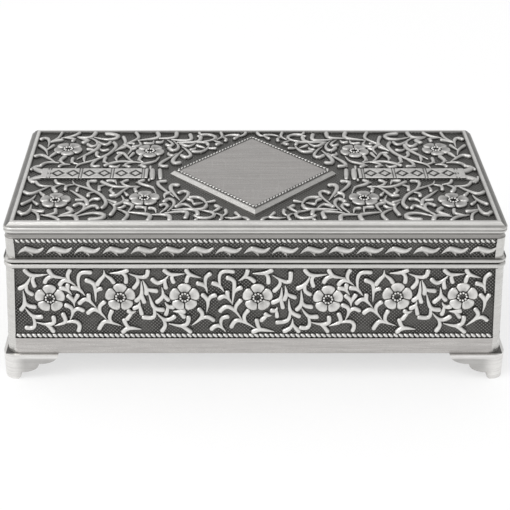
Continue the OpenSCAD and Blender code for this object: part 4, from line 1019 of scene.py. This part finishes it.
# strokes of one quarter of the top, from the blunt head to the thin tail; the last value is the head's width
topScroll = {"tailWidth": 0.40, "tailLift": 0.55, "headLift": 1.12, "widen": 1.08, "swell": 0.76, "spacing": 0.85,
             "ease": 50, "flowers": [(-61.0, -19.0), (-33.8, -17.5)], "flowerR": 4.85, "room": 0.35}
topStrokes = [
    ([(-71.2, -2.9), (-71.3, -4.8), (-70, -6.2)], 1.0),
    ([(-68.5, -6.2), (-67, -8.9), (-63, -8.7)], 1.2),
    ([(-71.2, -13.3), (-69.5, -14.9), (-66.8, -12.3), (-64.3, -9.2)], 1.5),
    ([(-64.5, -16), (-65.6, -15), (-66.8, -12.3)], 1.3),
    ([(-62.5, -5.2), (-62, -7.4), (-59.3, -7.4)], 1.2),
    ([(-61.5, -13), (-63.1, -9.8), (-60.8, -7.8)], 1.6),
    ([(-46.2, -24), (-45.3, -22.8), (-45.2, -20.5), (-46, -18), (-47.3, -15), (-49.5, -12.5), (-51.5, -10.5),
      (-54, -9), (-56.5, -7.5), (-57.2, -4.8)], 1.4),
    ([(-58.7, -11.5), (-59, -8.4), (-56.5, -7.6)], 1.3),
    ([(-55, -12.6), (-55.4, -11), (-54.6, -9)], 1.2),
    ([(-49.8, -5.5), (-52.2, -5.2), (-51.8, -9), (-48.8, -13.6)], 1.3),
    ([(-47.8, -6.1), (-45, -8.6), (-42, -9.6), (-36, -8.8)], 1.3),
    ([(-46, -5.4), (-43.6, -4.6), (-43.1, -7.2)], 1.3),
    ([(-48.1, -12), (-48.6, -8.8), (-46.5, -7.8)], 1.3),
    ([(-43.5, -14.4), (-45, -12), (-44, -9.6)], 1.3),
    ([(-39.8, -5), (-41.9, -6), (-40.5, -8.6), (-38, -9)], 1.2),
    ([(-44.3, -15.7), (-42.5, -16.3), (-40.8, -12), (-38.5, -8.9)], 1.3),
    ([(-39.2, -15.5), (-40.5, -12.5)], 1.2),
    ([(-34.8, -5), (-36.9, -6.2), (-34, -8.4), (-31.6, -9.3), (-30.5, -13.6)], 1.3),
    ([(-36.5, -13.2), (-37.4, -10.4), (-35.6, -9)], 1.3),
    ([(-51.2, -16), (-51.6, -13.4), (-49.5, -13)], 1.4),
    ([(-51, -22), (-51, -20), (-52.5, -17.5), (-55, -14.3), (-57.3, -11.5)], 1.5),
    ([(-47.8, -18.2), (-49.5, -17.2), (-50.8, -19.8)], 1.3),
    ([(-54.5, -18.8), (-51.5, -18.5)], 1.3),
    ([(-70.8, -21.6), (-69.4, -20), (-68.2, -18.5), (-67.5, -15)], 1.3),
    ([(-66.2, -21.7), (-67.5, -20), (-68.2, -18.5)], 1.2),
    ([(-71.0, -27), (-70, -28.8), (-68.6, -28), (-67.9, -24.5), (-68, -21.5)], 1.5),
    ([(-64, -26.4), (-66, -26.2), (-67.9, -24.5)], 1.5),
    ([(-64.5, -32.2), (-65.3, -27.8), (-67.6, -25.6)], 1.2),
    ([(-58.5, -32.2), (-60.2, -29.8), (-64.3, -28.4)], 1.3),
    ([(-60.2, -25.4), (-59.6, -27.6), (-63.5, -28.7)], 1.3),
    ([(-56.5, -24.3), (-54.6, -26.2), (-58.5, -28.5)], 1.7),
    ([(-53.1, -32.2), (-54.2, -28.6), (-59, -29.3)], 1.7),
    ([(-54.8, -22.6), (-53.3, -20.5), (-51.4, -22.6), (-52.5, -26.5), (-54.8, -28.5)], 1.3),
    ([(-47.5, -24.3), (-48.4, -21.9), (-51, -24), (-54, -28.5)], 1.3),
    ([(-49.2, -31.7), (-47, -31.5), (-45, -30.5), (-45, -28.3), (-47.5, -27), (-50, -27.3), (-53.5, -29.2)], 1.8),
    ([(-42.4, -20.5), (-43.8, -19.8), (-45.3, -18)], 1.2),
    ([(-43.3, -28.6), (-42.2, -23.5), (-44.6, -19.8)], 1.4),
    ([(-42.6, -22.3), (-39.8, -19.5), (-41, -15.3)], 1.3),
    ([(-38.8, -19.5), (-40.3, -18.3)], 1.1),
    ([(-39.6, -20.7), (-36.8, -22), (-38.2, -26)], 1.4),
    ([(-39.5, -23), (-40.8, -24.8), (-41.8, -23.4)], 1.1),
    ([(-39.2, -32.2), (-38, -28), (-41.8, -24.3)], 1.4),
    ([(-31.9, -32.2), (-31.4, -28.4), (-38.3, -26.5)], 1.7),
    ([(-35.8, -23.6), (-33, -23.3), (-33, -26.3)], 1.3),
    ([(-27.8, -5.6), (-30.4, -5.6), (-29.8, -8.5), (-27.8, -11.5), (-24.8, -16)], 1.4),
    ([(-23.8, -8.3), (-25.6, -7.4), (-26.2, -10), (-25.3, -13), (-23, -18.3)], 1.7),
    ([(-23.2, -13.8), (-21.8, -11.9), (-20, -13.5), (-21.3, -17.8), (-23.4, -21.3)], 1.4),
    ([(-26.3, -13.8), (-28, -14.2), (-27.6, -17)], 1.4),
    ([(-27.6, -19.8), (-26.2, -17.2), (-24.4, -19.5), (-24.8, -23), (-26.3, -25.8)], 1.5),
    ([(-28.5, -22.3), (-27.2, -20.8), (-26.1, -23), (-28.5, -26.8)], 1.3),
    ([(-31.8, -24.4), (-30.2, -23.6), (-29.8, -26.6)], 1.2),
    ([(-19.6, -17), (-17, -16.4), (-15, -19.3), (-14.3, -22.4)], 1.4),
    ([(-12.2, -19.5), (-15, -20.0)], 1.1),
    ([(-20.3, -18.3), (-18.5, -18.7), (-18.8, -20.8)], 1.2),
    ([(-18.3, -21.7), (-15.8, -20.3)], 1.2),
    ([(-23.8, -23.2), (-21.2, -20.9), (-19, -24)], 1.4),
    ([(-14.7, -22.6), (-15.2, -24.8), (-21, -24.6)], 1.4),
    ([(-17.2, -28.5), (-18, -24.9), (-25, -25)], 1.5),
    ([(-20.8, -30.6), (-20.4, -26.3), (-27, -27)], 1.6),
    ([(-25.5, -32.2), (-25.8, -28.4), (-31.5, -28.2)], 1.7),
    ([(-17, -30.5), (-14.6, -31.3), (-12.3, -29.9), (-11.9, -28), (-13.2, -26.2), (-15.5, -25.8), (-18, -24.8)], 1.3),
    ([(-18, -29.3), (-16.6, -30.6)], 1.2),
    ([(-17.8, -32.2), (-16.8, -30.6)], 1.1),
    ([(-11.8, -22.7), (-10, -23.6), (-13, -26.5)], 1.4),
    ([(-10.4, -32.2), (-9.6, -29), (-11.7, -27.3)], 1.2),
    ([(-8.8, -25.8), (-8.2, -28.2), (-9.8, -28.8)], 1.3),
    ([(-4.4, -30.2), (-7, -31.2), (-9.1, -30)], 1.2),
    ([(-5.8, -27.5), (-4.2, -29.8)], 1.2),
    ([(-2, -32.2), (-2.6, -30), (-4.6, -29.8)], 1.3),
    ([(-33.0, -5.0), (-33.0, -3.2)], 0.9),
]


def buildTopRelief():
    # one quarter's scrolls, laid four times in mirror image
    bm = newRelief()
    room = topScroll["flowerR"] + topScroll["room"]
    for flipX in (1, -1):
        for flipY in (1, -1):
            place = onLidTop(flipX, flipY)
            for points, head in topStrokes:
                layStroke(bm, place, keptClear(points[::-1], topScroll["flowers"], room),
                          (topScroll["tailWidth"], head * topScroll["widen"]),
                          (topScroll["tailLift"], topScroll["headLift"]),
                          topScroll["swell"], topScroll["spacing"], topScroll["ease"])
            for centre in topScroll["flowers"]:
                layFlower(bm, place, centre, 90, topScroll["flowerR"])
    finishPiece("topScrolls", bm, topOrnamentShaded, "lid")


buildTopRelief()
print("top scrolls laid")

# the straps that lead to the lozenge, with their engraved diamonds, bars and fishtail ends
strap = {
    "top": 52.4, "thick": 0.34, "from": 33.6, "to": 67.5, "half": 3.42, "cell": 0.17, "cut": 0.34,
    "roll": 0.12, "rollWidth": 0.3, "skirt": -0.15, "cutTone": 0.95,
    "diamonds": [37.5, 42.0, 47.5, 52.3, 57.5, 62.3], "diamondX": 1.75, "diamondY": 2.05,
    "line": 0.27, "dot": 0.40, "chevronFrom": 1.35, "chevronSpan": 1.2, "chevronLine": 0.30, "widestGap": 5.3,
    "ribs": [34.7, 35.4, 44.5, 45.3, 54.6, 55.4, 64.6, 65.4], "ribWidth": 0.20, "spacing": 0.5,
    "tail": [(65.4, 1.7), (67.4, 2.1), (69.2, 3.0), (70.6, 4.2), (70.3, 5.6), (68.6, 5.9)], "tailWidths": (3.4, 1.25),
    "bars": [([(32.1, -2.9), (32.2, 0.0), (32.3, 2.9)], 1.9), ([(29.5, -2.9), (29.7, 0.0), (29.9, 2.9)], 1.5)],
}


def strapCut(x, y):
    # depth of engraving at one spot of a strap, 0 to 1
    depth = 0.0
    for centre in strap["diamonds"]:
        ring = abs(x - centre) / strap["diamondX"] + abs(y) / strap["diamondY"]
        depth = max(depth, 1.5 - abs(ring - 1.0) / strap["line"])
        corner = math.hypot(abs(x - centre) - strap["diamondX"] * 1.02, y * 1.2)
        depth = max(depth, 1.6 - corner / strap["dot"])
    for centre in strap["ribs"]:
        depth = max(depth, 0.85 - abs(x - centre) / strap["ribWidth"] * 0.5)
    spread = (abs(y) - strap["chevronFrom"]) / strap["chevronSpan"]
    for centre, following in zip(strap["diamonds"], strap["diamonds"][1:]):
        if spread > 0 and following - centre < strap["widestGap"]:
            gap = (centre + following) * 0.5
            depth = max(depth, 0.42 - abs(abs(x - gap) - (1.0 - spread) * 0.9) / strap["chevronLine"])
    return max(0.0, min(depth, 1.0))


def buildStrap(name, side):
    # an engraved skin over the strap's flat top, and its fishtail end
    bm = newRelief()
    rise = bm.verts.layers.float["rise"]
    length, width = strap["to"] - strap["from"], strap["half"] * 2
    bmesh.ops.create_grid(bm, x_segments=int(length / strap["cell"]), y_segments=int(width / strap["cell"]), size=0.5)
    skirt, skirtEdges = growEdges(bm, [e for e in bm.edges if e.is_boundary])
    bmesh.ops.contextual_create(bm, geom=skirtEdges)
    lowered = set(skirt)
    for vert in bm.verts:
        x = strap["from"] + (vert.co.x + 0.5) * length
        y = vert.co.y * width
        cut = strapCut(x, y)
        edge = min(strap["half"] - abs(y), x - strap["from"], strap["to"] - x)
        roll = strap["roll"] * max(0.0, 1.0 - edge / strap["rollWidth"]) ** 2
        # the lowered skirt stays dark as a painted shadow along the strap's edge; the engraved cuts are dark with
        # patina
        vert[rise] = 0.0 if vert in lowered else 1.0 - strap["cutTone"] * cut
        lift = strap["skirt"] if vert in lowered else strap["thick"] - cut * strap["cut"] - roll
        vert.co = Vector((x * side, y, strap["top"] + lift)) * mm
    for flipY in (1, -1):
        layStroke(bm, onLidTop(side, flipY), strap["tail"], strap["tailWidths"], (0.95, 0.90), 0.55, strap["spacing"])
    for points, thick in strap["bars"]:
        layStroke(bm, onLidTop(side, 1), points, (thick, thick), (0.75, 1.0), 0.4, strap["spacing"])
    finishPiece(name, bm, topOrnamentShaded, "lid")


buildStrap("leftStrap", -1)
buildStrap("rightStrap", 1)
print("straps laid")


def buildPlateEdge():
    # small leaning beads along the lozenge's four sides
    bm = newRelief()
    rise = bm.verts.layers.float["rise"]
    corners = [Vector((plateEdge["halfX"], 0)), Vector((0, plateEdge["halfY"])),
               Vector((-plateEdge["halfX"], 0)), Vector((0, -plateEdge["halfY"]))]
    for start, end in zip(corners, corners[1:] + corners[:1]):
        beads = int(round((end - start).length / plateEdge["pitch"]))
        along = (end - start).normalized()
        across = Vector((-along.y, along.x))
        for bead in range(beads):
            centre = start + (end - start) * (bead + 0.5) / beads
            for vert in addCopy(bm, ballBlank(5)):
                x, y, z = vert.co
                # darker towards each bead's ends and edges: patina and painted shade in the gaps between beads
                vert[rise] = max(0.0, 1.0 - max(abs(x) ** 2, abs(y) ** 4))
                spot = (centre + along * (x * plateEdge["along"] + y * plateEdge["lean"])
                        + across * (y * plateEdge["radius"]))
                vert.co = Vector((spot.x, spot.y, plateEdge["z"] + z * plateEdge["tall"])) * mm
    finishPiece("plateBeading", bm, ornamentPewter, "lid")


buildPlateEdge()
print("plate beading laid")

lining = {"floorCrown": 0.9, "boardCrown": 0.35, "cell": 2.2, "wrinkle": 0.10, "wave": 0.09, "seed": 3.7,
          "roundShare": 0.42, "round": 0.9, "corner": 1.2}
felt = {"corner": 3.0, "rim": 0.3, "upright": 0.1}


def boardBlock(bm, node):
    # a block of a node's own size, in millimetres; gives the size and the middle
    low, high = [Vector(corner) * 1000 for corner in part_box(node)]
    bmesh.ops.create_cube(bm, size=1.0)
    bmesh.ops.scale(bm, vec=high - low, verts=bm.verts)
    return high - low, (high + low) * 0.5


def roundOff(bm, edges, width, segments):
    bmesh.ops.bevel(bm, geom=edges, offset=width, offset_type="OFFSET", segments=segments,
                    affect="EDGES", profile=0.5, material=-1)


def buildPad(name, node, thinAxis, facing, crown, body):
    # a covered board or pad: crowned face, soft rolled edges, slight unevenness
    bm = bmesh.new()
    size, centre = boardBlock(bm, node)
    axes = [a for a in range(3) if a != thinAxis]
    for axis in axes:
        cuts = max(3, int(size[axis] / lining["cell"]))
        normal = Vector([1.0 if a == axis else 0.0 for a in range(3)])
        for i in range(1, cuts):
            spot = normal * (-size[axis] * 0.5 + size[axis] * i / cuts)
            bmesh.ops.bisect_plane(bm, geom=bm.verts[:] + bm.edges[:] + bm.faces[:], plane_co=spot, plane_no=normal)
    roundOff(bm, [e for e in bm.edges if len(e.link_faces) == 2 and e.calc_face_angle() > lining["corner"]],
             min(size[thinAxis] * lining["roundShare"], lining["round"]), 3)
    for vert in bm.verts:
        a, b = [vert.co[axis] / (size[axis] * 0.5) for axis in axes]
        bulge = max(0.0, 1.0 - abs(a) ** 3.0) ** 0.7 * max(0.0, 1.0 - abs(b) ** 3.0) ** 0.7
        side = 1.0 if vert.co[thinAxis] * facing > 0 else 0.0
        ripple = noise.noise(Vector((vert.co[axes[0]] * lining["wave"], vert.co[axes[1]] * lining["wave"],
                                     lining["seed"]))) * lining["wrinkle"]
        vert.co[thinAxis] += facing * side * (-crown * (1.0 - bulge) + ripple * bulge)
        vert.co += centre
        vert.co = vert.co * mm
    piece = finishPiece(name, bm, blueVelvet, body)
    soft = piece.modifiers.new("soft", "SUBSURF")
    soft.levels = 1
    soft.render_levels = 1
    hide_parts(node)


buildPad("floorPadVelvet", "floor_pad", 2, 1, lining["floorCrown"], "box")
buildPad("lidPadVelvet", "lid_pad", 2, -1, lining["floorCrown"], "lid")
for where, axis, facing in (("front", 1, 1), ("rear", 1, -1), ("left", 0, 1), ("right", 0, -1)):
    buildPad("bodyBoard" + where.capitalize(), "lining_" + where, axis, facing, lining["boardCrown"], "box")
    buildPad("lidBoard" + where.capitalize(), "lid_lining_" + where, axis, facing, lining["boardCrown"], "lid")


def buildFelt():
    # the felt under the box, its edge trimmed a little soft
    bm = bmesh.new()
    centre = boardBlock(bm, "base_felt")[1]
    roundOff(bm, [e for e in bm.edges if abs(e.verts[0].co.z - e.verts[1].co.z) > felt["upright"]],
             felt["corner"], 5)
    roundOff(bm, [e for e in bm.edges if e.verts[0].co.z < 0 and e.verts[1].co.z < 0
                  and e.calc_face_angle(0) > lining["corner"]], felt["rim"], 2)
    for vert in bm.verts:
        vert.co = (vert.co + centre) * mm
    piece = finishPiece("baseFeltSheet", bm, blackFelt, "box", smooth=False)
    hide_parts("base_felt")


buildFelt()
print("linings laid")

# the floor, the room's light and how it changes along x, y and z, the camera, and the lamps: place, size, power
studio = {"floor": 1.6, "floorColor": (0.96, 0.96, 0.96, 1), "paperTone": (0.97, 0.97, 0.97, 1), "floorGlow": 0.6,
          "room": 0.88, "roomX": -0.30, "roomY": -0.14, "roomZ": -0.06,
          "cameraAt": (-0.00879, -0.3756, 0.2309), "tilt": 61.0, "lens": 91.8, "shift": 0.0575,
          "lampAim": (0, 0, 0.03),
          "lamps": {"windowLamp": ((-0.50, -0.40, 0.80), (0.5, 0.5), 2.6),
                    "overheadLamp": ((0.15, 0.10, 1.0), (0.9, 0.6), 1.2)}}


def buildFloor():
    bm = bmesh.new()
    bmesh.ops.create_grid(bm, x_segments=8, y_segments=8, size=studio["floor"])
    mesh = bpy.data.meshes.new("studioFloor")
    bm.to_mesh(mesh)
    bm.free()
    material, shader, where = startMaterial("palePaper")
    tree = where.tree
    tone = noiseOf(where, 8.0, 3.0)
    feed(shader.inputs["Base Color"], blendColor(tone, studio["floorColor"], studio["paperTone"]))
    shader.inputs["Roughness"].default_value = 0.7
    shader.inputs["Specular IOR Level"].default_value = 0.2
    glow = tree.nodes.new("ShaderNodeEmission")
    mix = tree.nodes.new("ShaderNodeMixShader")
    rays = tree.nodes.new("ShaderNodeLightPath").outputs
    seen = larger(*[Wire(tree, rays[label]) for label in ("Is Camera Ray", "Is Glossy Ray", "Is Transmission Ray")])
    feed(mix.inputs[0], seen * studio["floorGlow"])
    tree.links.new(shader.outputs[0], mix.inputs[1])
    tree.links.new(glow.outputs[0], mix.inputs[2])
    tree.links.new(mix.outputs[0], tree.nodes["Material Output"].inputs["Surface"])
    mesh.materials.append(material)
    floor = addObject("studioFloor", mesh)


def addLamp(name, spot, size, power):
    data = bpy.data.lights.new(name, "AREA")
    data.shape = "RECTANGLE"
    data.size, data.size_y = size
    data.energy = power
    lamp = addObject(name, data)
    lamp.location = spot
    lamp.rotation_euler = (Vector(studio["lampAim"]) - Vector(spot)).to_track_quat("-Z", "Y").to_euler()


def buildWorld():
    # a pale room, brighter towards the window side, softer overhead and behind
    world = bpy.data.worlds.new("paleRoom")
    world.use_nodes = True
    tree = world.node_tree
    background = tree.nodes["Background"]
    x, y, z = splitUp(Wire(tree, tree.nodes.new("ShaderNodeTexCoord").outputs["Generated"]))
    level = studio["room"] + (x * studio["roomX"] + y * studio["roomY"]) + z * studio["roomZ"]
    feed(background.inputs["Color"], greyOf(level))
    background.inputs["Strength"].default_value = 1.0
    bpy.context.scene.world = world


def buildCamera():
    data = bpy.data.cameras.new("photoCamera")
    data.sensor_width = 36.0
    data.lens = studio["lens"]
    data.shift_x = studio["shift"]
    data.clip_start = 0.01
    camera = addObject("photoCamera", data)
    camera.location = studio["cameraAt"]
    camera.rotation_euler = (math.radians(studio["tilt"]), 0, 0)
    bpy.context.scene.camera = camera


buildFloor()
buildWorld()
buildCamera()
for name, (spot, size, power) in studio["lamps"].items():
    addLamp(name, spot, size, power)
bpy.context.scene.view_settings.view_transform = "Standard"
print("studio set")
